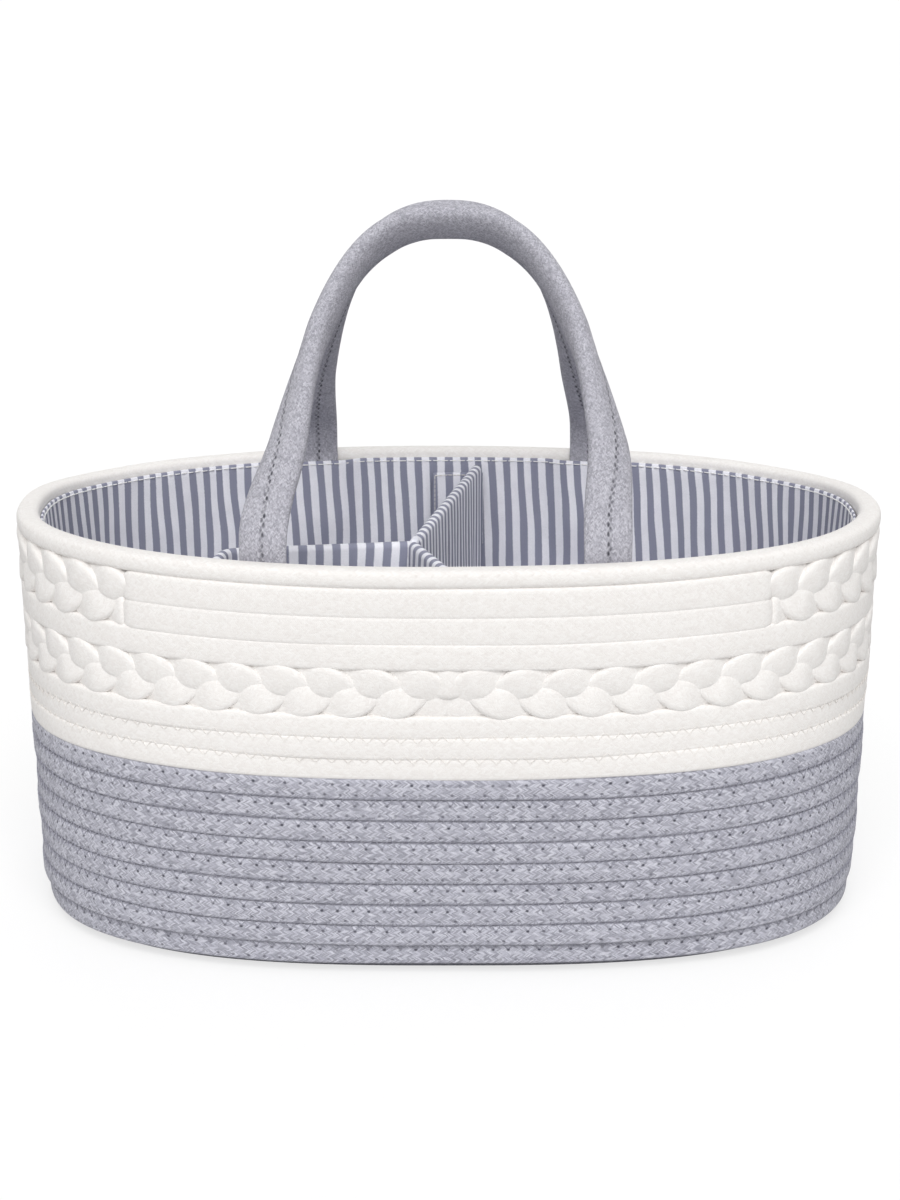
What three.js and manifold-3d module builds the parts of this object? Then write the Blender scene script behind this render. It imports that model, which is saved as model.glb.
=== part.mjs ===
// Diaper caddy: an oval basket of sewn cotton rope with two braided bands, a striped cotton lining,
// a padded divider that lifts out, and two padded strap handles that fold outwards.
// Millimetres, +Z up. The origin is on the floor under the middle of the basket; the front is -Y.
import * as THREE from 'three';
import { mergeVertices } from 'three/addons/utils/BufferGeometryUtils.js';
import Module from 'manifold-3d';

const wasm = await Module();
wasm.setup();

// Plan of the basket, outside
const rimLength = 380;
const rimDepth = 252;
const baseLength = 366;
const baseDepth = 240;
const rimPowerShare = 2.2;
const basePowerShare = 2.8;
const cornerRadius = 15;

// Rope and its courses, from the floor up
const ropeWide = 10;
const courseGap = 0.45;
const baseThick = 8.3;
const floorCutShare = 0.1;
const firstCourseShare = 0.53;
const greyCourse = 9.25;
const greyCourses = 9;
const whiteCourse = 8.75;
const whiteCourses = 3;
const lowerBraidHeight = 20.4;
const middleCourse = 10.1;
const upperBraidHeight = 22.6;
const rimCourse = 8.3;
const loopSteps = 24;
const climbSteps = 3;
const ropeSides = 6;
const ropeFlatShare = 0.5;
const halvings = 40;

// Braided bands: three strands each
const bandDepth = 10.2;
const strandThick = 3.75;
const strandGap = 0.3;
const strandHalfWideShare = 0.34;
const strandFlatShare = 0.3;
const strandShoulderShare = 0.8;
const strandRollShare = 0.15;
const periodsPerHalf = 9;
const stepsPerPeriod = 6;
const plainHalfSpan = 131;

// Lining
const fit = 0.3;
const liningThick = 1.2;
const liningTopShare = 0.42;
const floorThick = 1.2;

// Strap handles
const frontSpread = 137;
const frontShift = 5;
const frontHandleHeight = 147.7;
const frontWidthPowerShare = 2.85;
const frontTwistEndShare = 0.64;
const frontGripDepth = 10.9;
const rearSpread = 133.8;
const rearShift = 2.6;
const rearHandleHeight = 149.3;
const rearWidthPowerShare = 2.45;
const rearTwistEndShare = 0.93;
const rearGripDepth = 7.7;
const archHeightPowerShare = 1.49;
const swayEndShare = 0.3;
const hingeRise = 9.2;
const strapHalfWide = 9.8;
const strapHalfThick = 5.4;
const gripHalfWide = 10.2;
const gripHalfThick = 4.6;
const strapEndHalfThick = 3.2;
const strapEndDrop = 2;
const plumpEndShare = 0.2;
const strapCoverThick = 1;
const strapSteps = 30;
const strapSides = 8;
const footThick = 3.2;
const footTopThick = 4.8;
const footSunk = 26;
const footEase = 0.8;
const bulgeRamp = 6;

// Padded divider
const panelThick = 5;
const panelCoverThick = 0.9;
const panelTopDrop = 9.8;
const panelBend = 8;
const panelBendSteps = 4;
const tabWide = 25;
const tabHeight = 36;
const tabThick = 1.5;
const tabDrop = 4;
const tapeThick = 0.8;
const tapeHeight = 8;
const tapeMargin = 2;
const cavityOverrun = 4;

// Plan of the divider, as shares of the lining's half length and half depth
const sideEndXShare = -0.58;
const cornerXShare = -0.53;
const cornerYShare = -0.47;
const junctionXShare = -0.085;
const junctionYShare = -0.36;
const frontEndXShare = 0.05;
const backEndXShare = 0.083;

// Heights that follow from the courses
const greyBottom = baseThick * firstCourseShare;
const whiteBottom = greyBottom + greyCourse * greyCourses;
const lowerBraidBottom = whiteBottom + whiteCourse * whiteCourses;
const middleBottom = lowerBraidBottom + lowerBraidHeight;
const upperBraidBottom = middleBottom + middleCourse;
const rimBottom = upperBraidBottom + upperBraidHeight;
const rimTop = rimBottom + rimCourse;
const liningTop = rimBottom + rimCourse * liningTopShare;
const floorBottom = baseThick + fit;
const floorTop = floorBottom + floorThick;
const panelBottom = floorTop + fit;
const panelTop = rimTop - panelTopDrop;
const hingeHeight = rimTop + hingeRise;

// Depths into the wall, measured from its outer face
const strandSwing = (bandDepth - strandThick) / 2;
const liningInset = (ropeWide + bandDepth) / 2 + fit;
const liningFace = liningInset + liningThick;
const loopTapeInset = liningFace + fit;
const hookTapeInset = loopTapeInset + tapeThick + fit;
const tabInset = hookTapeInset + tapeThick + fit;
const panelEndInset = tabInset + tabThick + fit;
const footInset = liningInset;
const footMidInset = footInset + footThick / 2;
const bulgeDepth = footThick + fit;

// Colours
const cream = '#efe9e4';
const greyRope = '#a9aab8';
const strapGrey = '#b3b2bd';
const liningStripe = '#b9bac6';
const foam = '#e6e1d4';
const tapeGrey = '#8d8f98';

const caddy = new THREE.Group();

function addPiece(name, geometry, colour, roughness, holder = caddy) {
  const material = new THREE.MeshStandardMaterial({ color: colour, roughness, metalness: 0 });
  const mesh = new THREE.Mesh(geometry, material);
  mesh.name = name;
  holder.add(mesh);
}

const cotton = 0.95;
const foamRough = 1;
const nylonRough = 0.7;

// Closed surface through rings of points. A wrapped one joins its last ring to its first;
// an open one is capped at both ends.
function solidFromRings(rings, wrapped = false) {
  const sides = rings[0].length;
  const points = rings.flat();
  const faces = [];
  const spans = wrapped ? rings.length : rings.length - 1;
  for (let row = 0; row < spans; row += 1) {
    const next = (row + 1) % rings.length;
    for (let side = 0; side < sides; side += 1) {
      const beside = (side + 1) % sides;
      const a = row * sides + side;
      const b = row * sides + beside;
      const c = next * sides + beside;
      const d = next * sides + side;
      faces.push(a, b, c, a, c, d);
    }
  }
  if (!wrapped) {
    const last = (rings.length - 1) * sides;
    for (let side = 1; side < sides - 1; side += 1) {
      faces.push(0, side + 1, side);
      faces.push(last, last + side, last + side + 1);
    }
  }
  return outwardGeometry(points, faces);
}

function outwardGeometry(points, faces) {
  let volume = 0;
  for (let at = 0; at < faces.length; at += 3) {
    const [a, b, c] = [points[faces[at]], points[faces[at + 1]], points[faces[at + 2]]];
    volume += a.dot(new THREE.Vector3().crossVectors(b, c));
  }
  if (volume < 0) {
    faces.reverse();
  }
  const places = points.flatMap((point) => point.toArray());
  const geometry = new THREE.BufferGeometry();
  geometry.setAttribute('position', new THREE.Float32BufferAttribute(places, 3));
  geometry.setIndex(faces);
  geometry.computeVertexNormals();
  return geometry;
}

function toManifold(geometry) {
  const bare = geometry.clone();
  bare.deleteAttribute('normal');
  const merged = mergeVertices(bare);
  return new wasm.Manifold(new wasm.Mesh({
    numProp: 3,
    vertProperties: new Float32Array(merged.attributes.position.array),
    triVerts: new Uint32Array(merged.index.array),
  }));
}

function fromManifold(solid) {
  const mesh = solid.getMesh();
  const geometry = new THREE.BufferGeometry();
  geometry.setAttribute('position', new THREE.BufferAttribute(new Float32Array(mesh.vertProperties), 3));
  geometry.setIndex(new THREE.BufferAttribute(new Uint32Array(mesh.triVerts), 1));
  geometry.computeVertexNormals();
  return geometry;
}

// The oval wall. A station is one 24th of the way round, from the back middle, left side first.
// The outline is a superellipse: squarer at the base, rounder at the rim.
function stationCorner(station, inset, height) {
  const share = height / rimTop;
  const halfLength = THREE.MathUtils.lerp(baseLength, rimLength, share) / 2;
  const halfDepth = THREE.MathUtils.lerp(baseDepth, rimDepth, share) / 2;
  const power = THREE.MathUtils.lerp(basePowerShare, rimPowerShare, THREE.MathUtils.clamp(share, 0, 1));
  const turn = Math.PI / 2 + (2 * Math.PI * station) / loopSteps;
  const along = Math.cos(turn);
  const across = Math.sin(turn);
  const reach = (Math.abs(along) ** power + Math.abs(across) ** power) ** (-1 / power);
  const normal = new THREE.Vector2(
    (Math.sign(along) * Math.abs(along * reach) ** (power - 1)) / halfLength,
    (Math.sign(across) * Math.abs(across * reach) ** (power - 1)) / halfDepth,
  ).normalize();
  return new THREE.Vector2(
    halfLength * reach * along - inset * normal.x,
    halfDepth * reach * across - inset * normal.y,
  );
}

function wallPoint(station, inset, height) {
  const low = Math.floor(station);
  const start = stationCorner(low, inset, height);
  const end = stationCorner(low + 1, inset, height);
  start.lerp(end, station - low);
  return new THREE.Vector3(start.x, start.y, height);
}

// Station at which the wall's front or back side has a given x
function stationAtX(x, front, inset, height) {
  let left = front ? loopSteps / 4 : -loopSteps / 4;
  let right = left + loopSteps / 2;
  for (let halving = 0; halving < halvings; halving += 1) {
    const middle = (left + right) / 2;
    const here = wallPoint(middle, inset, height).x;
    const goOn = front ? here < x : here > x;
    if (goOn) {
      left = middle;
    } else {
      right = middle;
    }
  }
  return (left + right) / 2;
}

// Windings. Each turn lies level and climbs one course in the last steps before the back middle.
// Both ends are tapered wedges, so a winding's lower and upper edges are level all the way round.
function courseLevel(step) {
  const turn = Math.floor(step / loopSteps);
  const inTurn = step - turn * loopSteps;
  const climb = Math.max(0, (inTurn - (loopSteps - climbSteps)) / climbSteps);
  return Math.max(0, turn + climb);
}

function windingRings(turns, ringAt) {
  const rings = [];
  for (let step = 1 - climbSteps; step < turns * loopSteps; step += 1) {
    const low = courseLevel(step);
    const high = Math.min(turns, courseLevel(step + loopSteps));
    rings.push(ringAt(step, low, high));
  }
  return rings;
}

// Least distance from a winding to itself, on its points, leaving out the rings next to each
function leastGapToItself(rings) {
  let least = Infinity;
  for (let row = 0; row < rings.length; row += 1) {
    for (let other = row + loopSteps / 2; other < rings.length; other += 1) {
      for (const a of rings[row]) {
        for (const b of rings[other]) {
          least = Math.min(least, a.distanceTo(b));
        }
      }
    }
  }
  return least;
}

// Depth of a rope's middle: the lowest courses draw in round the basket's bottom edge
function ropeMidInset(height) {
  const half = ropeWide / 2;
  const bend = cornerRadius - half;
  const below = Math.min(bend, Math.max(0, cornerRadius - height));
  return cornerRadius - Math.sqrt(bend * bend - below * below);
}

// Six-sided rope section: corners face out and in, flats face up and down. Where a winding tapers
// to its end, the rope gets half as narrow as it gets low.
function wallRopeRing(station, low, high, course) {
  const middle = (low + high) / 2;
  const halfHigh = (high - low - courseGap) / 2;
  const halfWide = (ropeWide / 4) * (1 + (high - low) / course);
  const inset = ropeMidInset(low + course / 2);
  const ring = [];
  for (let side = 0; side < ropeSides; side += 1) {
    const turn = (2 * Math.PI * side) / ropeSides;
    const out = halfWide * Math.cos(turn);
    const up = (halfHigh * Math.sin(turn)) / Math.sin(Math.PI / 3);
    ring.push(wallPoint(station, inset - out, middle + up));
  }
  return ring;
}

function addWallWinding(name, turns, bottom, course, colour) {
  const rings = windingRings(turns, (step, low, high) => wallRopeRing(
    step, bottom + course * low, bottom + course * high, course));
  console.log(name, 'turns', turns, 'least gap to itself', leastGapToItself(rings).toFixed(2));
  addPiece(name, solidFromRings(rings), colour, cotton);
}

// Base: a flat oval coil. Each loop is a share of the way from the middle line to the outer edge.
const firstCourseInset = ropeMidInset(greyBottom + greyCourse / 2);
const baseEdgeInset = firstCourseInset + ropeWide / 4 + courseGap;
const baseLoops = Math.round((baseDepth / 2 - baseEdgeInset) / ropeWide);

function baseSpoke(station) {
  const edge = wallPoint(station, baseEdgeInset, 0);
  const tip = wallPoint(-loopSteps / 4, baseEdgeInset, 0).x;
  const side = wallPoint(0, baseEdgeInset, 0).y;
  const hub = new THREE.Vector3(THREE.MathUtils.clamp(edge.x, side - tip, tip - side), 0, 0);
  return { hub, edge, reach: edge.distanceTo(hub) };
}

function baseRopeRing(step, low, high) {
  const { hub, edge, reach } = baseSpoke(step + 1);
  const inner = (reach * low) / baseLoops + courseGap / 2;
  const outer = (reach * high) / baseLoops - courseGap / 2;
  const middle = (inner + outer) / 2;
  const half = (outer - inner) / 2;
  const top = (baseThick * (1 + high - low)) / 2;
  const waist = top - top / (1 - floorCutShare) / 2;
  const cutShare = ropeFlatShare + floorCutShare;
  const section = [
    [1, waist], [ropeFlatShare, top], [-ropeFlatShare, top], [-1, waist], [-cutShare, 0], [cutShare, 0],
  ];
  return section.map(([out, height]) => {
    const point = hub.clone().lerp(edge, (middle + half * out) / reach);
    return point.setZ(height);
  });
}

const baseRings = windingRings(baseLoops, baseRopeRing);
console.log('base_coil loops', baseLoops, 'least gap to itself', leastGapToItself(baseRings).toFixed(2));
addPiece('base_coil', solidFromRings(baseRings), greyRope, cotton);
addWallWinding('grey_wall_winding', greyCourses, greyBottom, greyCourse, greyRope);
addWallWinding('white_wall_winding', whiteCourses, whiteBottom, whiteCourse, cream);
addWallWinding('middle_course', 1, middleBottom, middleCourse, cream);
addWallWinding('rim_course', 1, rimBottom, rimCourse, cream);

// Lengths along a band, from the front middle; left of it they are negative
function bandMeasure(height) {
  const inset = ropeWide / 2;
  const lengths = [0];
  for (let step = 0; step < loopSteps / 2; step += 1) {
    const here = wallPoint(loopSteps / 2 + step, inset, height);
    const next = wallPoint(loopSteps / 2 + step + 1, inset, height);
    lengths.push(lengths[step] + here.distanceTo(next));
  }
  const half = lengths[loopSteps / 2];
  const stationAt = (length) => {
    const size = Math.abs(length);
    let step = 0;
    while (step < loopSteps / 2 - 1 && lengths[step + 1] < size) {
      step += 1;
    }
    const share = (size - lengths[step]) / (lengths[step + 1] - lengths[step]);
    return loopSteps / 2 + Math.sign(length) * (step + share);
  };
  return { half, stationAt };
}

// A three-strand flat braid, worked out on the unrolled band. A strand swings up and down once a
// period and in and out twice, so it passes over one strand and under the next, and it rolls a
// little on its way across. The pattern is mirrored about the front middle, as the photograph
// shows it.
const strandSection = [
  [1, 0], [strandFlatShare, strandShoulderShare], [-strandFlatShare, strandShoulderShare],
  [-1, 0], [-strandFlatShare, -strandShoulderShare], [strandFlatShare, -strandShoulderShare],
];

function strandRing(band, lead, length, upright) {
  const stepLength = band.period / stepsPerPeriod;
  const phaseAt = (at) => lead + (2 * Math.PI * Math.abs(at)) / band.period;
  const riseAt = (at) => band.rise * Math.sin(phaseAt(at));
  const slope = (riseAt(length + stepLength) - riseAt(length - stepLength)) / (2 * stepLength);
  const tilt = upright ? 0 : Math.atan(slope);
  const phase = phaseAt(length);
  return strandSection.map(([acrossShare, outShare]) => {
    const across = band.halfWide * acrossShare;
    const roll = strandRollShare * acrossShare * Math.cos(phase);
    const out = strandSwing * Math.sin(2 * (phase + roll)) + (strandThick / 2) * outShare;
    const station = band.stationAt(length - across * Math.sin(tilt));
    const height = band.middle + riseAt(length) + across * Math.cos(tilt);
    return wallPoint(station, ropeWide / 2 - out, height);
  });
}

function makeBand(bottom, height) {
  const middle = bottom + height / 2;
  const { half, stationAt } = bandMeasure(middle);
  const halfWide = (height / 2) * strandHalfWideShare;
  const rise = height / 2 - halfWide - strandGap;
  return { middle, half, stationAt, halfWide, rise, period: half / periodsPerHalf };
}

const lowerBand = makeBand(lowerBraidBottom, lowerBraidHeight);
const upperBand = makeBand(upperBraidBottom, upperBraidHeight);
const leads = [1, 3, 5].map((quarter) => (Math.PI * (2 * quarter + 1)) / 6);
const halfSteps = periodsPerHalf * stepsPerPeriod;

leads.forEach((lead, at) => {
  const rings = [];
  for (let step = -halfSteps; step <= halfSteps; step += 1) {
    const atEnd = Math.abs(step) === halfSteps;
    const full = (step * lowerBand.half) / halfSteps;
    const length = atEnd ? full - (Math.sign(step) * courseGap) / 2 : full;
    rings.push(strandRing(lowerBand, lead, length, atEnd));
  }
  addPiece(`lower_braid_strand_${at + 1}`, solidFromRings(rings), cream, cotton);
});

// The upper braid runs from one end of the plain front stretch, round the back, to the other
const upperStep = upperBand.half / halfSteps;
const plainSteps = Math.round(plainHalfSpan / upperStep);
leads.forEach((lead, at) => {
  const rings = [];
  for (let step = plainSteps; step <= 2 * halfSteps - plainSteps; step += 1) {
    const side = step <= halfSteps ? step : step - 2 * halfSteps;
    const atEnd = Math.abs(side) === plainSteps;
    rings.push(strandRing(upperBand, lead, side * upperStep, atEnd || step === halfSteps));
  }
  addPiece(`upper_braid_strand_${at + 1}`, solidFromRings(rings), cream, cotton);
});

// Two plain courses close the front between the upper braid's ends
const plainCourse = upperBraidHeight / 2;
const plainEnd = plainSteps * upperStep - courseGap;
['front_lower_course', 'front_upper_course'].forEach((name, at) => {
  const low = upperBraidBottom + plainCourse * at;
  const rings = [];
  for (let step = -climbSteps; step <= climbSteps; step += 1) {
    const whole = loopSteps / 2 + step;
    const end = upperBand.stationAt(Math.sign(step) * plainEnd);
    const station = Math.abs(step) === climbSteps ? end : whole;
    rings.push(wallRopeRing(station, low, low + plainCourse, plainCourse));
  }
  addPiece(name, solidFromRings(rings), cream, cotton);
});

// Feet of the strap handles, sewn between the rope wall and the lining
const feet = [
  { name: 'front_left_foot', x: -frontShift - frontSpread / 2, front: true },
  { name: 'front_right_foot', x: frontSpread / 2 - frontShift, front: true },
  { name: 'rear_left_foot', x: rearShift - rearSpread / 2, front: false },
  { name: 'rear_right_foot', x: rearSpread / 2 + rearShift, front: false },
];
const footBottom = liningTop - footSunk;
const endSweep = Math.hypot(strapEndHalfThick, strapEndDrop);
const footTop = hingeHeight - endSweep - fit;

function footDepthAt(foot) {
  const station = stationAtX(foot.x, foot.front, footMidInset, rimTop);
  return Math.abs(wallPoint(station, footMidInset, rimTop).y);
}

const hingeDepth = (footDepthAt(feet[0]) + footDepthAt(feet[1])) / 2;
console.log('handle hinges at y', hingeDepth.toFixed(2), 'either way, z', hingeHeight.toFixed(2));

// Section of a foot: a flat strap with bevelled corners, as lengths along the wall and into it
function footSection(thick) {
  const corner = thick / 4;
  const wide = strapHalfWide;
  return [
    [wide, corner - thick / 2], [wide, thick / 2 - corner], [wide - corner, thick / 2],
    [corner - wide, thick / 2], [-wide, thick / 2 - corner], [-wide, corner - thick / 2],
    [corner - wide, -thick / 2], [wide - corner, -thick / 2],
  ];
}

// A foot lies in the wall up to the rim, and its top stands under the strap's hinge line
function addFoot(foot) {
  const inward = foot.front ? 1 : -1;
  const rings = [footBottom, rimTop].map((height) => footSection(footThick).map(([along, deep]) => {
    const station = stationAtX(foot.x + along, foot.front, footMidInset, height);
    return wallPoint(station, footMidInset + deep, height);
  }));
  rings.push(footSection(footTopThick).map(([along, deep]) => (
    new THREE.Vector3(foot.x + along, inward * (deep - hingeDepth), footTop))));
  addPiece(foot.name, solidFromRings(rings), strapGrey, cotton);
}

feet.forEach(addFoot);

// Lining of the wall: a thin sleeve that bulges over the four feet
const bulgeFull = strapHalfWide + footEase;
const bulgeEnd = bulgeFull + bulgeRamp;

function liningStations() {
  const stations = [];
  for (let step = 0; step < loopSteps; step += 1) {
    stations.push(step);
  }
  for (const foot of feet) {
    for (const along of [-bulgeEnd, -bulgeFull, bulgeFull, bulgeEnd]) {
      const station = stationAtX(foot.x + along, foot.front, liningInset, rimTop);
      stations.push((station + loopSteps) % loopSteps);
    }
  }
  return stations.sort((a, b) => a - b);
}

function bulgeAt(station, height) {
  const { x, y } = wallPoint(station, liningInset, rimTop);
  let bulge = 0;
  for (const foot of feet) {
    const sameSide = foot.front === y < 0;
    const away = Math.abs(x - foot.x);
    const share = THREE.MathUtils.clamp((bulgeEnd - away) / bulgeRamp, 0, 1);
    bulge = sameSide ? Math.max(bulge, share) : bulge;
  }
  const rise = THREE.MathUtils.clamp((height - (footBottom - bulgeRamp)) / bulgeRamp, 0, 1);
  return bulgeDepth * bulge * rise;
}

const cornerTop = greyBottom + greyCourse;
const footRamp = footBottom - bulgeRamp - fit;
const liningFoot = firstCourseInset + ropeWide / 2 + fit;
const liningRows = [
  [panelBottom, liningFoot], [cornerTop, liningInset],
  [(2 * cornerTop + footRamp) / 3, liningInset], [(cornerTop + 2 * footRamp) / 3, liningInset],
  [footRamp, liningInset], [footBottom - fit, liningInset], [liningTop, liningInset],
];

const liningRings = liningStations().map((station) => {
  const outer = liningRows.map(([height, inset]) => {
    const raised = height === footBottom - fit ? footBottom : height;
    return wallPoint(station, inset + bulgeAt(station, raised), height);
  });
  const inner = liningRows.map(([height, inset]) => {
    const raised = height === footBottom - fit ? footBottom : height;
    return wallPoint(station, inset + liningThick + bulgeAt(station, raised), height);
  });
  return [...outer, ...inner.reverse()];
});
addPiece('lining_wall', solidFromRings(liningRings, true), liningStripe, cotton);

// Lining of the floor: lies on the coil and reaches under the wall's lining
const floorRings = [floorBottom, floorTop].map((height) => {
  const ring = [];
  for (let step = 0; step < loopSteps; step += 1) {
    ring.push(wallPoint(step, liningFoot, floorBottom).setZ(height));
  }
  return ring;
});
addPiece('lining_floor', solidFromRings(floorRings), liningStripe, cotton);

// Divider. Its plan is a path of straight runs with rounded corners.
const faceLength = wallPoint(-loopSteps / 4, liningFace, panelTop).x;
const faceDepth = wallPoint(0, liningFace, panelTop).y;
const planPoint = (xShare, yShare) => new THREE.Vector2(faceLength * xShare, faceDepth * yShare);
const corner = planPoint(cornerXShare, cornerYShare);
const junction = planPoint(junctionXShare, junctionYShare);
const frontReach = -1;
const sideEnd = planPoint(sideEndXShare, frontReach);
const frontEnd = planPoint(frontEndXShare, frontReach);
const backEnd = planPoint(backEndXShare, 1);

// Distance along a direction from a point to the wall's polygon at an inset and a height
function reachToWall(origin, direction, inset, height) {
  let reach = Infinity;
  for (let step = 0; step < loopSteps; step += 1) {
    const a = wallPoint(step, inset, height);
    const b = wallPoint(step + 1, inset, height);
    const side = new THREE.Vector2(b.x - a.x, b.y - a.y);
    const away = new THREE.Vector2(a.x - origin.x, a.y - origin.y);
    const cross = direction.cross(side);
    const along = away.cross(side) / cross;
    const share = away.cross(direction) / cross;
    if (along > 0 && share >= 0 && share <= 1) {
      reach = Math.min(reach, along);
    }
  }
  return reach;
}

// Rounded corner between two runs
function bendAt(before, point, after) {
  const inward = before.clone().sub(point).normalize();
  const onward = after.clone().sub(point).normalize();
  const half = Math.acos(inward.dot(onward)) / 2;
  const bisector = inward.clone().add(onward).normalize();
  const middle = point.clone().addScaledVector(bisector, panelBend / Math.sin(half));
  const start = point.clone().addScaledVector(inward, panelBend / Math.tan(half)).sub(middle);
  const end = point.clone().addScaledVector(onward, panelBend / Math.tan(half)).sub(middle);
  const points = [];
  for (let step = 0; step <= panelBendSteps; step += 1) {
    const spoke = start.clone().lerp(end, step / panelBendSteps).setLength(panelBend);
    points.push(middle.clone().add(spoke));
  }
  return points;
}

const sideBend = bendAt(sideEnd, corner, junction);
const junctionBend = bendAt(corner, junction, frontEnd);

function headingOf(from, to) {
  return to.clone().sub(from).normalize();
}

const toLeft = (heading) => new THREE.Vector2(-heading.y, heading.x);

// A padded panel stands on its path: straight faces, and a top rounded over its thickness
function panelSection(halfThick, bottom, top) {
  const shoulder = top - halfThick;
  const slant = halfThick / Math.SQRT2;
  return [
    [-halfThick, bottom], [-halfThick, shoulder], [-slant, shoulder + slant], [0, top],
    [slant, shoulder + slant], [halfThick, shoulder], [halfThick, bottom],
  ];
}

function wallEnd(from, toward, endInset) {
  const heading = headingOf(from, toward);
  return (aside, height) => {
    const start = from.clone().addScaledVector(toLeft(heading), aside);
    const reach = reachToWall(start, heading, endInset, height);
    return start.addScaledVector(heading, reach);
  };
}

function sweepPanel(path, section, startAt, endAt) {
  const rings = [section.map(([aside, height]) => startAt(aside, height))];
  for (let at = 1; at < path.length - 1; at += 1) {
    const left = toLeft(headingOf(path[at - 1], path[at]));
    left.add(toLeft(headingOf(path[at], path[at + 1])));
    left.divideScalar(left.lengthSq() / 2);
    rings.push(section.map(([aside]) => path[at].clone().addScaledVector(left, aside)));
  }
  rings.push(section.map(([aside, height]) => endAt(aside, height)));
  return solidFromRings(rings.map((ring) => ring.map((point, at) => (
    new THREE.Vector3(point.x, point.y, section[at][1])))));
}

// The pocket panel: from the front wall, round the pocket's corner, to the junction and back
const pocketPath = [sideEnd, ...sideBend, ...junctionBend, frontEnd];

function pocketSolid(halfThick, bottom, top, endInset) {
  const back = wallEnd(sideBend[0], sideEnd, endInset);
  const ahead = wallEnd(junctionBend[panelBendSteps], frontEnd, endInset);
  return sweepPanel(
    pocketPath,
    panelSection(halfThick, bottom, top),
    (aside, height) => back(-aside, height),
    ahead,
  );
}

// The cross panel: from the pocket panel's bend at the junction to the back wall
const crossHeading = headingOf(junction, backEnd);

// How far a line from the junction runs until it is a given distance clear of the pocket panel
function reachPast(line, heading, clear) {
  let near = -panelThick / 2;
  let far = panelBend + panelThick;
  for (let halving = 0; halving < halvings; halving += 1) {
    const middle = (near + far) / 2;
    if (distanceToPocket(line.clone().addScaledVector(heading, middle)) < clear) {
      near = middle;
    } else {
      far = middle;
    }
  }
  return far;
}

function distanceToPocket(point) {
  let least = Infinity;
  for (let at = 1; at < pocketPath.length; at += 1) {
    const run = pocketPath[at].clone().sub(pocketPath[at - 1]);
    const away = point.clone().sub(pocketPath[at - 1]);
    const share = THREE.MathUtils.clamp(away.dot(run) / run.lengthSq(), 0, 1);
    least = Math.min(least, away.addScaledVector(run, -share).length());
  }
  return least;
}

function crossSolid(halfThick, bottom, top, startGap, endInset) {
  const lineAt = (aside) => junction.clone().addScaledVector(toLeft(crossHeading), aside);
  const reaches = [-panelThick / 2, 0, panelThick / 2].map((aside) => (
    reachPast(lineAt(aside), crossHeading, panelThick / 2 + startGap)));
  const startAt = (aside) => lineAt(aside).addScaledVector(crossHeading, Math.max(...reaches));
  return sweepPanel(
    [],
    panelSection(halfThick, bottom, top),
    startAt,
    wallEnd(junction, backEnd, endInset),
  );
}

// Each cover is its panel less the room for the foam, open along the bottom seam
const halfPanel = panelThick / 2;
const cavityHalf = halfPanel - panelCoverThick;
const coreHalf = cavityHalf - fit;
const cavityTop = panelTop - panelCoverThick;
const coreTop = cavityTop - fit;
const cavityBottom = panelBottom - cavityOverrun;
const cavityEndInset = panelEndInset + panelCoverThick;
const coreEndInset = cavityEndInset + fit;

const pocketCover = toManifold(pocketSolid(halfPanel, panelBottom, panelTop, panelEndInset))
  .subtract(toManifold(pocketSolid(cavityHalf, cavityBottom, cavityTop, cavityEndInset)));
addPiece('pocket_panel_cover', fromManifold(pocketCover), liningStripe, cotton);
const pocketCore = pocketSolid(coreHalf, panelBottom, coreTop, coreEndInset);
addPiece('pocket_panel_core', pocketCore, foam, foamRough);

const cavityStart = fit + panelCoverThick;
const crossCavity = crossSolid(cavityHalf, cavityBottom, cavityTop, cavityStart, cavityEndInset);
const crossCover = toManifold(crossSolid(halfPanel, panelBottom, panelTop, fit, panelEndInset))
  .subtract(toManifold(crossCavity));
addPiece('cross_panel_cover', fromManifold(crossCover), liningStripe, cotton);
const crossCore = crossSolid(coreHalf, panelBottom, coreTop, cavityStart + fit, coreEndInset);
addPiece('cross_panel_core', crossCore, foam, foamRough);

// A thin patch that lies along the wall between two x places and two heights
function wallPatch(fromX, toX, front, inset, thick, low, high) {
  const first = stationAtX(fromX, front, inset, high);
  const last = stationAtX(toX, front, inset, high);
  const stations = [Math.min(first, last), Math.max(first, last)];
  for (let step = Math.ceil(stations[0]); step < stations[1]; step += 1) {
    stations.push(step);
  }
  stations.sort((a, b) => a - b);
  return solidFromRings(stations.map((station) => [
    wallPoint(station, inset, low), wallPoint(station, inset, high),
    wallPoint(station, inset + thick, high), wallPoint(station, inset + thick, low),
  ]));
}

// Each end of the divider is sewn to a tab with hook tape, which grips loop tape on the lining
const tabs = [
  { name: 'back', x: backEnd.x, side: -1, front: false },
  { name: 'front', x: frontEnd.x, side: 1, front: true },
  { name: 'side', x: sideEnd.x, side: -1, front: true },
];

for (const tab of tabs) {
  const from = tab.x - tab.side * halfPanel;
  const to = from + tab.side * tabWide;
  const high = panelTop - tabDrop;
  const low = high - tabHeight;
  const tapeFrom = from + tab.side * tapeMargin;
  const tapeTo = to - tab.side * tapeMargin;
  const cloth = wallPatch(from, to, tab.front, tabInset, tabThick, low, high);
  addPiece(`${tab.name}_tab`, cloth, liningStripe, cotton);
  for (const [kind, inset] of [['hook', hookTapeInset], ['loop', loopTapeInset]]) {
    const tapeTop = high - tapeMargin;
    const tape = wallPatch(
      tapeFrom, tapeTo, tab.front, inset, tapeThick, tapeTop - tapeHeight, tapeTop);
    addPiece(`${tab.name}_${kind}_tape`, tape, tapeGrey, nylonRough);
  }
}

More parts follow.
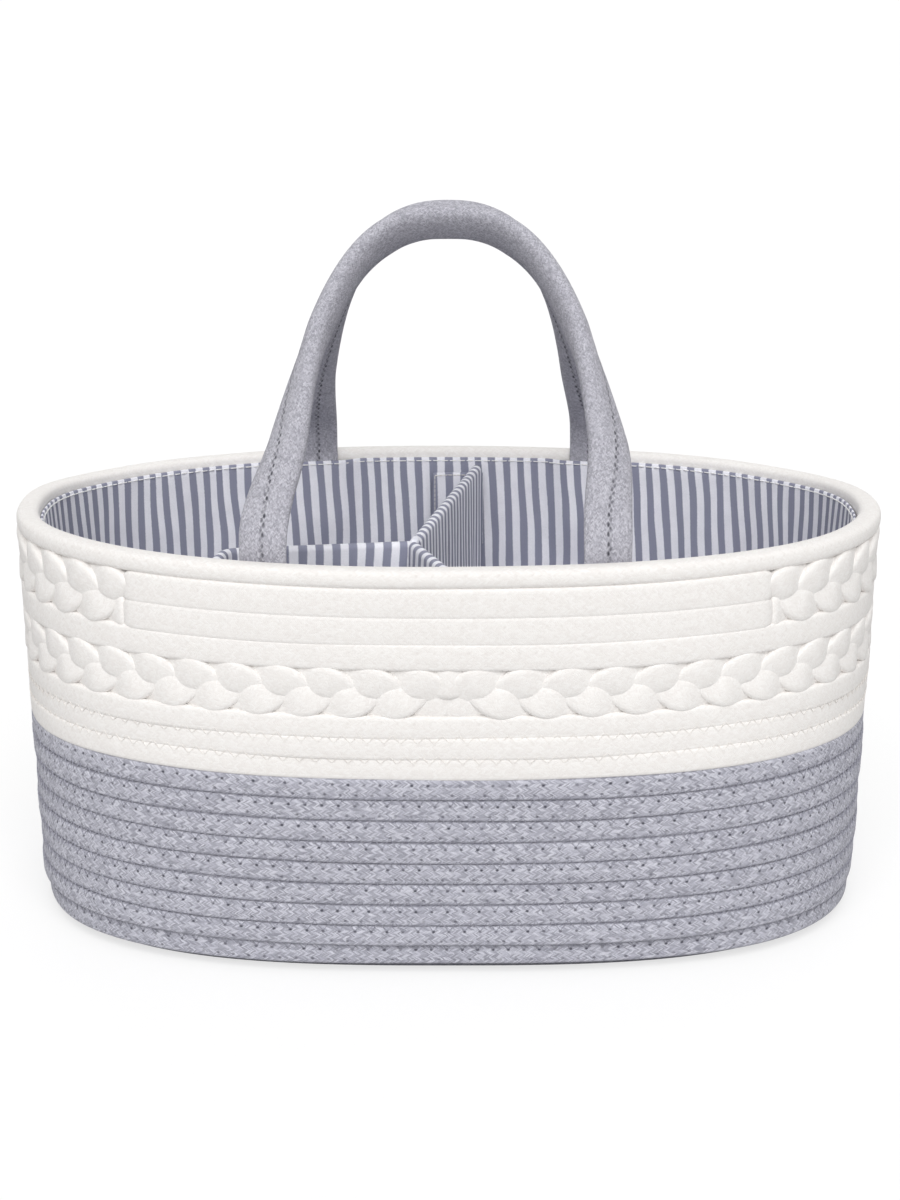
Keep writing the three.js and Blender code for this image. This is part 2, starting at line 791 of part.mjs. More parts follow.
// Strap handle, in its own plane: x across, z up along the lean, y square to it. The strap lies
// flat against the wall at its feet and turns a quarter of a turn on the way up to the grip, the
// front strap's outer face outwards and the rear strap's the other way. Its two feet stand a
// little to one side of the basket's middle, and the strap sways back to the middle low down.
function strapPlace(share, strap) {
  const turn = Math.PI * share;
  const outward = -Math.sign(Math.cos(turn)) * Math.abs(Math.cos(turn)) ** (2 / strap.widthPower);
  const lift = Math.sin(turn) ** (2 / archHeightPowerShare);
  const sway = strap.side * strap.shift * THREE.MathUtils.smoothstep(lift, 0, swayEndShare);
  return new THREE.Vector3((strap.spread / 2) * outward - sway, 0, strap.height * lift);
}

// Corners a little outside the oval and flats a little inside it
const roundness = 2 / (1 + Math.cos(Math.PI / strapSides));

function strapRing(share, shrink, strap) {
  const here = strapPlace(share, strap);
  const nearby = 1 / strapSteps / 4;
  const ahead = strapPlace(Math.min(1, share + nearby), strap);
  const along = ahead.sub(strapPlace(Math.max(0, share - nearby), strap)).normalize();
  const lift = here.z / strap.height;
  const plump = THREE.MathUtils.smoothstep(lift, 0, plumpEndShare);
  const roll = (strap.side * Math.PI / 2) * THREE.MathUtils.clamp(lift / strap.twistEnd, 0, 1);
  const halfWide = THREE.MathUtils.lerp(strapHalfWide, gripHalfWide, lift) - shrink;
  const legThick = THREE.MathUtils.lerp(strapEndHalfThick, strapHalfThick, plump);
  const halfThick = THREE.MathUtils.lerp(legThick, gripHalfThick, lift * lift * plump) - shrink;
  const square = new THREE.Vector3(0, 1, 0);
  const inPlane = new THREE.Vector3().crossVectors(square, along);
  const wideWay = inPlane.multiplyScalar(Math.cos(roll)).addScaledVector(square, Math.sin(roll));
  const thickWay = new THREE.Vector3().crossVectors(along, wideWay);
  const ring = [];
  for (let face = 0; face < strapSides; face += 1) {
    const turn = (2 * Math.PI * (face + 0.5)) / strapSides;
    const point = here.clone().addScaledVector(wideWay, halfWide * Math.cos(turn) * roundness);
    ring.push(point.addScaledVector(thickWay, halfThick * Math.sin(turn) * roundness));
  }
  return ring;
}

function strapRings(shrink, strap, overrun) {
  const rings = [];
  for (let step = 0; step <= strapSteps; step += 1) {
    rings.push(strapRing(step / strapSteps, shrink, strap));
  }
  const drop = new THREE.Vector3(0, 0, -strapEndDrop - overrun);
  const first = rings[0].map((point) => point.clone().add(drop));
  const last = rings[strapSteps].map((point) => point.clone().add(drop));
  return [first, ...rings, last];
}

// A strap leans in until its grip's middle stands at the given depth from the basket's middle
function addHandle(strap) {
  const holder = new THREE.Group();
  holder.position.set(strap.side * strap.shift, strap.side * hingeDepth, hingeHeight);
  holder.rotation.x = strap.side * Math.asin((hingeDepth - strap.gripDepth) / strap.height);
  caddy.add(holder);
  const whole = toManifold(solidFromRings(strapRings(0, strap, 0)));
  const room = toManifold(solidFromRings(strapRings(strapCoverThick, strap, cavityOverrun)));
  const filling = solidFromRings(strapRings(strapCoverThick + fit, strap, 0));
  addPiece(`${strap.name}_cover`, fromManifold(whole.subtract(room)), strapGrey, cotton, holder);
  addPiece(`${strap.name}_filling`, filling, foam, foamRough, holder);
}

addHandle({
  name: 'front_handle',
  side: -1,
  spread: frontSpread,
  shift: frontShift,
  height: frontHandleHeight,
  widthPower: frontWidthPowerShare,
  twistEnd: frontTwistEndShare,
  gripDepth: frontGripDepth,
});
addHandle({
  name: 'rear_handle',
  side: 1,
  spread: rearSpread,
  shift: rearShift,
  height: rearHandleHeight,
  widthPower: rearWidthPowerShare,
  twistEnd: rearTwistEndShare,
  gripDepth: rearGripDepth,
});

export default caddy;
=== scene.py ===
"""Looks of the rope diaper caddy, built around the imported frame.

Lengths inside the classes are in millimetres and become metres when a mesh is made. The frame is the
part's own: +Z up, the origin on the floor under the middle of the basket, the front towards -Y.
"""
import logging
import math
from abc import ABC, abstractmethod
from collections.abc import Callable, Mapping, Sequence
from dataclasses import dataclass, field
from enum import Enum

import bpy
import numpy as np
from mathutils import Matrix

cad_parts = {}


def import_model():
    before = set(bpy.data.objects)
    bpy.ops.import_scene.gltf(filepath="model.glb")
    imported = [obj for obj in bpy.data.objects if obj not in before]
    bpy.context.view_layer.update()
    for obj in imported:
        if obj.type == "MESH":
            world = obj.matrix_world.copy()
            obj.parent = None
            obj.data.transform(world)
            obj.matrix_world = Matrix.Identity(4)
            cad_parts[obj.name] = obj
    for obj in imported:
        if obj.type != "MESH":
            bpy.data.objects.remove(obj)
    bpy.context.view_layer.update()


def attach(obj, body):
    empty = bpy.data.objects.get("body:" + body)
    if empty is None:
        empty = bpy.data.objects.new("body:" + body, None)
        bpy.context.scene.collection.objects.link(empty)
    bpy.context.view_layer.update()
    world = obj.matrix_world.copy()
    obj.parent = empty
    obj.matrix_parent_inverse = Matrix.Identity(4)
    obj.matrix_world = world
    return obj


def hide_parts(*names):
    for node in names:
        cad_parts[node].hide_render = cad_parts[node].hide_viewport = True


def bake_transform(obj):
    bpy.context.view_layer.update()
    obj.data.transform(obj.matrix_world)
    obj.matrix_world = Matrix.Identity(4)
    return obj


logging.basicConfig(level=logging.INFO, format="%(name)s: %(message)s")
LOG = logging.getLogger("caddy")
MM = 0.001
HALVINGS = 40
STRIPE_PITCH = 7.2
Array = np.ndarray
Piece = bpy.types.Object
Material = bpy.types.Material
Terms = tuple[tuple[float, ...], ...]
Node = bpy.types.Node
Socket = bpy.types.NodeSocket | bpy.types.Node


class Body(Enum):
    """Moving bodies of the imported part."""

    BASKET = "basket"
    DIVIDER = "divider"
    FRONT_HANDLE = "front_handle"
    REAR_HANDLE = "rear_handle"


class Slot(Enum):
    """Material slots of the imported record."""

    CREAM_ROPE = "cream_rope"
    GREY_ROPE = "grey_rope"
    STRAP = "strap_cotton"
    STRIPES = "striped_cotton"
    FASTENER = "touch_fastener"


class Side(Enum):
    """Which long side of the basket something belongs to; the value is the sign of its y."""

    FRONT = -1
    REAR = 1


# ---------------------------------------------------------------- small tools


def smooth(value: Array | float) -> Array | float:
    """Eases 0..1 with 3v^2 - 2v^3, held at both ends."""
    held = np.clip(value, 0.0, 1.0)
    return held * held * (3.0 - 2.0 * held)


def signed_power(value: Array, power: float) -> Array:
    """The sign of a value times its size to a power."""
    return np.sign(value) * np.abs(value) ** power


def unit(vectors: Array) -> Array:
    """Vectors scaled to length one along the last axis."""
    return vectors / np.maximum(np.linalg.norm(vectors, axis=-1, keepdims=True), 1e-9)


def arc_lengths(points: Array) -> Array:
    """Running length along a line of points, from 0."""
    steps = np.linalg.norm(np.diff(points, axis=0), axis=1)
    return np.concatenate([[0.0], np.cumsum(steps)])


def section_turn(sides: int) -> Array:
    """Angles of a section's points: from the inside, by the bottom and the outside, to the top."""
    return 2 * np.pi * np.arange(sides) / sides - np.pi


def oval(turn: Array, power: float) -> tuple[Array, Array]:
    """Cosine and sine of a turn, each to a power: 1 is a plain oval, less is squarer."""
    return signed_power(np.cos(turn), power), signed_power(np.sin(turn), power)


def halve(low: Array, high: Array, short: Callable[[Array], Array]) -> tuple[Array, Array]:
    """Narrows each range, by halving, to where `short` turns from true to false."""
    for _ in range(HALVINGS):
        middle = (low + high) / 2
        onward = short(middle)
        low, high = np.where(onward, middle, low), np.where(onward, high, middle)
    return low, high


def waves(turn: Array, seed: float, terms: Terms) -> Array:
    """Slow unevenness: the sum of size * sin(2 pi * often * turn + shift * seed) over the terms."""
    return sum(size * np.sin(2 * np.pi * often * turn + shift * seed) for size, often, shift in terms)


def courses_climbed(turn: Array, climb: float) -> Array:
    """Courses that a winding has climbed: one a turn, over the last `climb` share of it."""
    whole = np.floor(turn)
    return np.maximum(0.0, whole + smooth((turn - whole - (1 - climb)) / climb))


def raised(plan: Array, height: Array) -> Array:
    """Plan points, rows by columns by 2, with the columns' heights as a third value."""
    return np.concatenate([plan, np.broadcast_to(height, plan.shape[:2])[..., None]], -1)


def make_mesh(name: str, points: Array, faces: Array, corners: Array) -> Piece:
    """Makes a shaded mesh object from arrays.

    Args:
        name: Name of the piece.
        points: Corner places in millimetres, n by 3.
        faces: Quads as corner numbers, m by 4; a triangle repeats its third corner.
        corners: UV of each face corner in millimetres, m by 4 by 2.

    Returns:
        The object, linked to the scene, at the origin, with its faces turned outwards.
    """
    first, second, third, fourth = (points[faces[:, at]] for at in range(4))
    volume = np.einsum("ij,ij->i", first, np.cross(second, third)).sum()
    volume += np.einsum("ij,ij->i", first, np.cross(third, fourth)).sum()
    if volume < 0:
        faces, corners = faces[:, ::-1], corners[:, ::-1]
    keep = np.ones(faces.shape, bool)
    keep[:, 3] = faces[:, 3] != faces[:, 2]
    keep[:, 0] = faces[:, 0] != faces[:, 1]
    sizes = keep.sum(1)
    mesh = bpy.data.meshes.new(name)
    mesh.vertices.add(len(points))
    mesh.vertices.foreach_set("co", (points * MM).astype(np.float32).ravel())
    mesh.loops.add(int(sizes.sum()))
    mesh.loops.foreach_set("vertex_index", faces[keep].astype(np.int32))
    mesh.polygons.add(len(faces))
    starts = np.concatenate([[0], np.cumsum(sizes)[:-1]]).astype(np.int32)
    mesh.polygons.foreach_set("loop_start", starts)
    mesh.polygons.foreach_set("use_smooth", np.ones(len(faces), bool))
    layer = mesh.uv_layers.new(name="UVMap")
    layer.data.foreach_set("uv", corners[keep].astype(np.float32).ravel())
    mesh.update(calc_edges=True)
    mesh.validate()
    piece = bpy.data.objects.new(name, mesh)
    bpy.context.scene.collection.objects.link(piece)
    return piece


def grid_faces(rows: int, columns: int, ring: bool) -> tuple[Array, Array, Array]:
    """Quads of a tube of points.

    Args:
        rows: Rings of points.
        columns: Points in a ring.
        ring: True if the last row joins the first.

    Returns:
        Faces as point numbers, and the row and column of each face corner in a UV grid that has one
        more column, and for a ring one more row, where the points join up.
    """
    row, column = np.meshgrid(np.arange(rows if ring else rows - 1), np.arange(columns), indexing="ij")
    rise = np.stack([row, row, row + 1, row + 1], -1).reshape(-1, 4)
    run = np.stack([column, column + 1, column + 1, column], -1).reshape(-1, 4)
    return (rise % rows) * columns + run % columns, rise, run


def tube_mesh(name: str, grid: Array, uv: Array, ring: bool = False) -> Piece:
    """Makes a closed piece from rings of points: row by row along it, column by column round it.

    Args:
        name: Name of the piece.
        grid: Points in millimetres, rows by columns by 3; the last column joins the first.
        uv: UV in millimetres, rows (one more for a ring) by columns + 1 by 2.
        ring: True if the last row joins the first; if not, both ends are closed to their middles.

    Returns:
        The object.
    """
    rows, columns = grid.shape[:2]
    faces, rise, run = grid_faces(rows, columns, ring)
    points, corners = grid.reshape(-1, 3), uv[rise, run]
    if not ring:
        here = np.arange(columns)
        beside = (here + 1) % columns
        hub = np.full(columns, rows * columns)
        last = (rows - 1) * columns
        points = np.concatenate([points, grid[0].mean(0)[None], grid[-1].mean(0)[None]])
        faces = np.concatenate([
            faces,
            np.stack([hub, beside, here, here], 1),
            np.stack([hub + 1, last + here, last + beside, last + beside], 1),
        ])
        corners = np.concatenate([corners, *(np.stack([edge[:-1]] * 4, 1) for edge in (uv[0], uv[-1]))])
    return make_mesh(name, points, faces, corners)


def section_uv(grid: Array, along: Array, start: int = 0) -> Array:
    """UV of a tube: U is the length along it, V the length round it from column `start`.

    Args:
        grid: Rings of points, rows by columns by 3.
        along: U of each row.
        start: The column where V is 0, negative on one side of it and positive on the other.

    Returns:
        UV, rows by columns + 1 by 2.
    """
    closed = np.concatenate([grid, grid[:, :1]], 1)
    steps = np.linalg.norm(np.diff(closed, axis=1), axis=2)
    around = np.concatenate([np.zeros((len(grid), 1)), np.cumsum(steps, 1)], 1)
    around = around - around[:, start : start + 1]
    return np.stack([np.broadcast_to(along[:, None], around.shape), around], -1)


def joined_uv(uv: Array, length: float) -> Array:
    """UV of a ring: the first row once more at the end, with the whole length as its U."""
    uv = np.concatenate([uv, uv[:1]])
    uv[-1, :, 0] = length
    return uv


# ---------------------------------------------------------------- finishes


def srgb(code: str) -> tuple[float, float, float, float]:
    """Turns an sRGB hex colour to linear red, green, blue and alpha."""
    parts = [int(code[at : at + 2], 16) / 255.0 for at in (1, 3, 5)]
    linear = [part / 12.92 if part <= 0.04045 else ((part + 0.055) / 1.055) ** 2.4 for part in parts]
    return (*linear, 1.0)


class Graph:
    """A cleared node tree and short calls for the nodes that the finishes are made of."""

    def __init__(self, owner: Material | bpy.types.World) -> None:
        """Clears the tree of a material or world."""
        owner.use_nodes = True
        self.tree = owner.node_tree
        self.tree.nodes.clear()

    def node(self, kind: str, inputs: Mapping | Sequence = (), **settings) -> Node:
        """Adds a node with its settings and links.

        Args:
            kind: The node's type without its leading ShaderNode.
            inputs: Values, sockets or nodes, in the order of the inputs or by input name or number.
            **settings: Properties of the node.

        Returns:
            The node.
        """
        node = self.tree.nodes.new("ShaderNode" + kind)
        for name, value in settings.items():
            setattr(node, name, value)
        pairs = inputs.items() if isinstance(inputs, Mapping) else enumerate(inputs)
        for key, value in pairs:
            source = value.outputs[0] if isinstance(value, Node) else value
            if isinstance(source, bpy.types.NodeSocket):
                self.tree.links.new(source, node.inputs[key])
            else:
                node.inputs[key].default_value = source
        return node

    def math(self, operation: str, *values: Socket | float) -> Node:
        """A Math node: one operation on numbers."""
        return self.node("Math", values, operation=operation)

    def vector(self, operation: str, *values: Socket | tuple) -> Node:
        """A Vector Math node: one operation on vectors."""
        return self.node("VectorMath", values, operation=operation)

    def split(self, place: Socket) -> tuple[Socket, Socket]:
        """U and V of a place."""
        parts = self.node("SeparateXYZ", [place])
        return parts.outputs["X"], parts.outputs["Y"]

    def noise(self, place: Socket, scale: float, detail: float, **inputs: float) -> Node:
        """Flat noise of `scale` patches a millimetre."""
        fed = {"Vector": place, "Scale": scale, "Detail": detail, **inputs}
        return self.node("TexNoise", fed, noise_dimensions="2D")

    def ramp(self, value: Socket, *limits: float, **settings: str) -> Node:
        """A value's range turned to 0..1, or to the third and fourth limit."""
        return self.node("MapRange", [value, *limits], **settings)

    def mixed(self, share: Socket | float, low: Socket | tuple, high: Socket | tuple) -> Socket:
        """The colour between two, by a share from 0 to 1."""
        return self.node("Mix", {0: share, 6: low, 7: high}, data_type="RGBA").outputs[2]

    def crest(self, share: Socket) -> Node:
        """One round crest as a share runs from 0 to 1."""
        return self.math("SINE", self.math("MULTIPLY", share, math.pi))

    def cotton(self, colour: Socket, height: Socket, relief: float, sheen: float) -> None:
        """Ends a cotton material: matt shader with a bump and a soft sheen.

        Args:
            colour: Colour socket.
            height: Height socket, about 0 to 1.
            relief: Height of the bump in millimetres.
            sheen: Weight of the fuzz on the surface.
        """
        bump = self.node("Bump", {"Strength": 1.0, "Distance": relief * MM, "Height": height})
        shader = self.node("BsdfPrincipled", {
            "Base Color": colour, "Normal": bump, "Roughness": 0.92, "IOR": 1.5,
            "Specular IOR Level": 0.2, "Sheen Weight": sheen, "Sheen Roughness": 0.5,
        })
        self.node("OutputMaterial", [shader])


@dataclass(frozen=True)
class Finish(ABC):
    """What a material is made from: its name, and in each kind of finish its colours and measures."""

    name: str

    def build(self) -> Material:
        """Makes the material."""
        material = bpy.data.materials.new(self.name)
        self.paint(Graph(material))
        return material

    @abstractmethod
    def paint(self, graph: Graph) -> None:
        """Adds the finish's nodes; each kind has its own."""


@dataclass(frozen=True)
class KnitCotton(Finish):
    """Cotton cord or webbing knitted of fine yarns: rows of V stitches, flecked yarn, matt and soft.

    The eye sees slanted strokes in columns, each yarn a little lighter or darker than the next, and
    fine fibre noise over all. UV is in millimetres: U along the cord, V round it. The yarns' widths
    are real ones; single fibres are too fine to show, so the fibre noise is drawn 0.2 mm or more wide.

    Stroke number = (U + slant * fold(V)) / yarn, where fold is a triangle wave of one column's
    width; its whole part picks the yarn's tone. The grooves between the yarns' crowns get painted
    shade, a share of the way to the dark colour. `drift` is how far the rows stray, `valley` the way
    from the outermost line to where the valleys between courses get painted shade (0 for none), and
    the hole rows are the needle holes', whose darkness is painted shade: the way from the outermost
    line, the phase along the row and the strength.
    """

    dark: str
    middle: str
    light: str
    yarn: float
    column: float
    relief: float
    slant: float = 1.0
    fibre: float = 0.35
    fleck: float = 0.55
    drift: float = 1.1
    drift_often: float = 0.45
    # share of painted shade in the grooves between the yarns
    painted_groove_shade: float = 0.45
    valley: float = 0.0
    valley_wide: float = 0.5
    hole_pitch: float = 5.5
    hole_long: float = 1.0
    hole_deep: float = 2.2
    hole_often: float = 0.23
    hole_rows: tuple[tuple[float, float, float], ...] = ()
    # colour of the painted shade in the needle holes and in the valleys
    painted_shade_colour: str = "#55555f"
    sheen: float = 0.1

    def paint(self, graph: Graph) -> None:
        """Adds the nodes: strokes, fibres, colour, crowned yarns with painted shade in their grooves,
        then needle holes and valleys, both darkened with painted shade.
        """
        place = graph.node("UVMap", uv_map="UVMap")
        stray = graph.noise(place, self.drift_often, 1.0)
        nudge = graph.vector("SUBTRACT", stray.outputs["Color"], (0.5, 0.5, 0.5))
        spread = graph.vector("MULTIPLY", nudge, (self.drift, self.drift, 0.0))
        moved = graph.vector("ADD", place, spread)
        along, around = graph.split(moved)
        fold = graph.math("PINGPONG", around, self.column)
        slanted = graph.math("MULTIPLY_ADD", fold, self.slant, along)
        stroke = graph.math("DIVIDE", slanted, self.yarn)
        wale = graph.math("DIVIDE", around, self.column)
        cell = graph.node("CombineXYZ", [graph.math("FLOOR", stroke), graph.math("FLOOR", wale)])
        tone = graph.node("TexWhiteNoise", {"Vector": cell}, noise_dimensions="2D")
        fibres = graph.noise(moved, 1.0 / self.fibre, 3.0, Roughness=0.7)
        fine = graph.ramp(fibres.outputs["Fac"], 0.3, 0.7)
        flecked = graph.node("Mix", {0: self.fleck, 2: fine, 3: tone.outputs["Value"]})
        colour = graph.mixed(graph.ramp(flecked, 0.1, 0.5), srgb(self.dark), srgb(self.middle))
        colour = graph.mixed(graph.ramp(flecked, 0.5, 0.9), colour, srgb(self.light))
        round_yarn = graph.crest(graph.math("FRACT", stroke))
        round_wale = graph.crest(graph.math("FRACT", wale))
        crown = graph.math("MULTIPLY_ADD", round_wale, 0.5, round_yarn)
        height = graph.math("MULTIPLY_ADD", fine, 0.5, crown)
        # painted shade: the grooves between the yarns' crowns are darkened towards the dark colour
        shade = graph.mixed(graph.ramp(crown, 0.0, 0.75), srgb(self.dark), colour)
        colour = graph.mixed(self.painted_groove_shade, colour, shade)
        if self.hole_rows:
            colour, height = self._pricked(graph, place, colour, height)
        if self.valley:
            colour = self._shaded(graph, place, fine, colour)
        graph.cotton(colour, height, self.relief, self.sheen)

    def _shaded(self, graph: Graph, place: Socket, fine: Socket, colour: Socket) -> Socket:
        """Paints shade into the valleys between courses, past `valley` from the outermost line,
        unevenly.
        """
        aside = graph.math("ABSOLUTE", graph.split(place)[1])
        deep = graph.ramp(aside, self.valley, self.valley + self.valley_wide)
        patchy = graph.ramp(fine, 0.25, 0.75, 0.1, 0.85)
        # painted shade in the valleys between courses
        return graph.mixed(graph.math("MULTIPLY", deep, patchy), colour, srgb(self.painted_shade_colour))

    def _pricked(
        self, graph: Graph, place: Socket, colour: Socket, height: Socket
    ) -> tuple[Socket, Socket]:
        """Adds the needle holes: dimples in rows at a fixed pitch, not all equally deep, darkened with
        painted shade.
        """
        along, aside = graph.split(place)
        depth = graph.noise(place, self.hole_often, 0.0)
        most = None
        for around, phase, strength in self.hole_rows:
            shifted = graph.math("ADD", along, phase * self.hole_pitch)
            away = graph.math("PINGPONG", shifted, self.hole_pitch / 2)
            above = graph.math("SUBTRACT", aside, around)
            pair = graph.node("CombineXYZ", [graph.math("MULTIPLY", away, 1.0 / self.hole_long), above])
            far = graph.vector("LENGTH", pair).outputs["Value"]
            spot = graph.ramp(far, 0.85, 0.25, 0.0, strength, interpolation_type="SMOOTHSTEP")
            most = graph.math("MAXIMUM", most, spot) if most else spot
        # painted shade: the holes are darkened, some more than others
        uneven = graph.ramp(depth.outputs["Fac"], 0.3, 0.6, 0.5, 1.0)
        dark = graph.math("MULTIPLY", most, uneven)
        colour = graph.mixed(dark, colour, srgb(self.painted_shade_colour))
        return colour, graph.math("MULTIPLY_ADD", dark, -self.hole_deep, height)


@dataclass(frozen=True)
class StripedCotton(Finish):
    """Plain-woven cotton with yarn-dyed stripes: flat, crisp, matt; the stripes' edges a little soft.

    UV is in millimetres: U across the stripes, V along them. A stripe is dark where the triangle
    wave of U, with the pitch of a stripe pair, is under a quarter of it and `widened`; the weave's
    height is sin(U) * sin(V) of its threads, which are of a real width.
    """

    light: str
    dark: str
    pitch: float = STRIPE_PITCH
    widened: float = 0.25
    edge: float = 0.2
    ragged: float = 2.2
    thread: float = 0.45
    slub: float = 1.6
    wander: float = 4.8
    wander_often: tuple[float, float, float] = (0.03, 0.012, 1.0)
    cloud_often: float = 0.12
    cloud_tint: float = 0.08
    relief: float = 0.12
    sheen: float = 0.08

    def paint(self, graph: Graph) -> None:
        """Adds the nodes: wandering stripes with ragged edges, a faint cloud, threads and slubs; the
        colour is a little darker where weave and slubs lie lower, painted shade between the threads
        together with the slubs' own tone.
        """
        place = graph.node("UVMap", uv_map="UVMap")
        slow = graph.node("Mapping", {"Vector": place, "Scale": self.wander_often})
        stray = graph.noise(slow, 1.0, 2.0)
        centred = graph.math("SUBTRACT", stray.outputs["Fac"], 0.5)
        moved = graph.math("MULTIPLY_ADD", centred, self.wander, graph.split(place)[0])
        wave = graph.math("PINGPONG", moved, self.pitch / 2)
        ragged = graph.noise(place, self.ragged, 1.0)
        border = graph.math("MULTIPLY_ADD", ragged.outputs["Fac"], 0.5, wave)
        middle = self.pitch / 4 + self.widened
        mask = graph.ramp(
            border, middle - self.edge, middle + self.edge, interpolation_type="SMOOTHSTEP"
        )
        cloud = graph.noise(place, self.cloud_often, 2.0)
        tint = graph.ramp(cloud.outputs["Fac"], 0.3, 0.7, 0.0, self.cloud_tint)
        across, along = graph.split(graph.vector("MULTIPLY", place, (2.0 * math.pi / self.thread,) * 3))
        weave = graph.math("MULTIPLY", graph.math("SINE", across), graph.math("SINE", along))
        slub = graph.noise(place, self.slub, 4.0, Roughness=0.7)
        height = graph.math("MULTIPLY_ADD", weave, 0.35, slub.outputs["Fac"])
        # painted shade and slub tone: darker where the weave and slubs lie lower
        fleck = graph.ramp(height, 0.2, 0.9, 0.9, 1.05)
        colour = graph.mixed(mask, srgb(self.dark), srgb(self.light))
        colour = graph.mixed(tint, colour, srgb(self.dark))
        colour = graph.node("VectorMath", {0: colour, "Scale": fleck}, operation="SCALE")
        graph.cotton(colour, height, self.relief, self.sheen)


@dataclass(frozen=True)
class NylonTape(Finish):
    """Woven nylon touch-fastener tape: rows of tiny hooks or loops, dull with a slight gloss."""

    colour: str
    # colour of the painted light on the hooks' tips
    lit_tip_colour: str
    spacing: float = 1.3
    relief: float = 0.4

    def paint(self, graph: Graph) -> None:
        """Adds the nodes: cells of the hooks' spacing, with painted light on their tips and painted
        shade between them.
        """
        place = graph.node("UVMap", uv_map="UVMap")
        inputs = {"Vector": place, "Scale": 1.0 / self.spacing}
        cells = graph.node("TexVoronoi", inputs, voronoi_dimensions="2D")
        # painted light and shade: lighter at the cells' middles, the tips, darker between them
        tips = graph.ramp(cells.outputs["Distance"], 0.0, 0.7, 1.0, 0.0)
        colour = graph.mixed(tips, srgb(self.colour), srgb(self.lit_tip_colour))
        bump = graph.node("Bump", {"Strength": 1.0, "Distance": self.relief * MM, "Height": tips})
        inputs = {"Base Color": colour, "Normal": bump, "Roughness": 0.6, "IOR": 1.53}
        graph.node("OutputMaterial", [graph.node("BsdfPrincipled", inputs)])


@dataclass(frozen=True)
class Thread(Finish):
    """Spun cotton sewing thread, matt: two tones, darker where its twisted plies lie low, which is
    painted shade.
    """

    colour: str
    shade: str
    twist: float = 0.6

    def paint(self, graph: Graph) -> None:
        """Adds the nodes: uneven patches in Object coordinates for the plies, the low ones in the shade
        colour as painted shade.
        """
        place = graph.node("TexCoord").outputs["Object"]
        inputs = {"Vector": place, "Scale": 1.0 / (self.twist * MM), "Detail": 1.0}
        plies = graph.ramp(graph.node("TexNoise", inputs).outputs["Fac"], 0.35, 0.65)
        # painted shade: the plies are darker where they lie low
        colour = graph.mixed(plies, srgb(self.shade), srgb(self.colour))
        graph.cotton(colour, plies, relief=0.08, sheen=0.1)


class Finishes:
    """All finishes of the caddy, each made once."""

    def __init__(self) -> None:
        """Makes every material."""
        cream = {"dark": "#e8e4e1", "middle": "#eeebe8", "light": "#f3f1ef"}
        cream |= {"yarn": 0.85, "column": 1.3, "relief": 0.045}
        # the hole colours below are painted shade in the needle holes, and on the grey rope in its
        # valleys too
        self.cream_rope = KnitCotton(
            "cream_cotton_rope_knitted", **cream,
            hole_rows=((2.1, 0.0, 0.2), (-2.3, 0.5, 0.08)), painted_shade_colour="#c8c0ba",
        ).build()
        self.cream_braid = KnitCotton("cream_cotton_cord_braided", **cream).build()
        self.grey_rope = KnitCotton(
            "grey_melange_cotton_rope_knitted", "#8c8c97", "#bdbdc9", "#e8e8f1", yarn=0.62, column=1.35,
            relief=0.11, slant=1.25, fleck=0.58, fibre=0.2, drift=0.7, valley=4.15,
            hole_rows=((2.1, 0.0, 1.0), (-2.3, 0.5, 0.7)),
        ).build()
        self.strap = KnitCotton(
            "grey_melange_cotton_jersey", "#81808a", "#b8b7c1", "#e8e7ee", yarn=0.5, column=0.75,
            relief=0.1, fleck=0.42, fibre=0.2, drift=0.7, hole_pitch=3.6, hole_long=1.7,
            hole_rows=((0.45, 0.0, 0.9), (-0.45, 0.5, 0.6)), painted_shade_colour="#33333c",
        ).build()
        self.stripes = StripedCotton("striped_cotton_plain_woven", "#f8f8ff", "#9496a9").build()
        self.tape = NylonTape("grey_nylon_touch_fastener", "#8f9199", "#b8bac2").build()
        self.cream_thread = Thread("cream_cotton_thread_spun", "#f1ede8", "#e2ddd8").build()
        self.hem_thread = Thread("white_cotton_thread_spun", "#ffffff", "#eeecea").build()
        self.grey_thread = Thread("grey_cotton_thread_spun", "#b9b9c5", "#8b8b97").build()


# ---------------------------------------------------------------- the oval wall


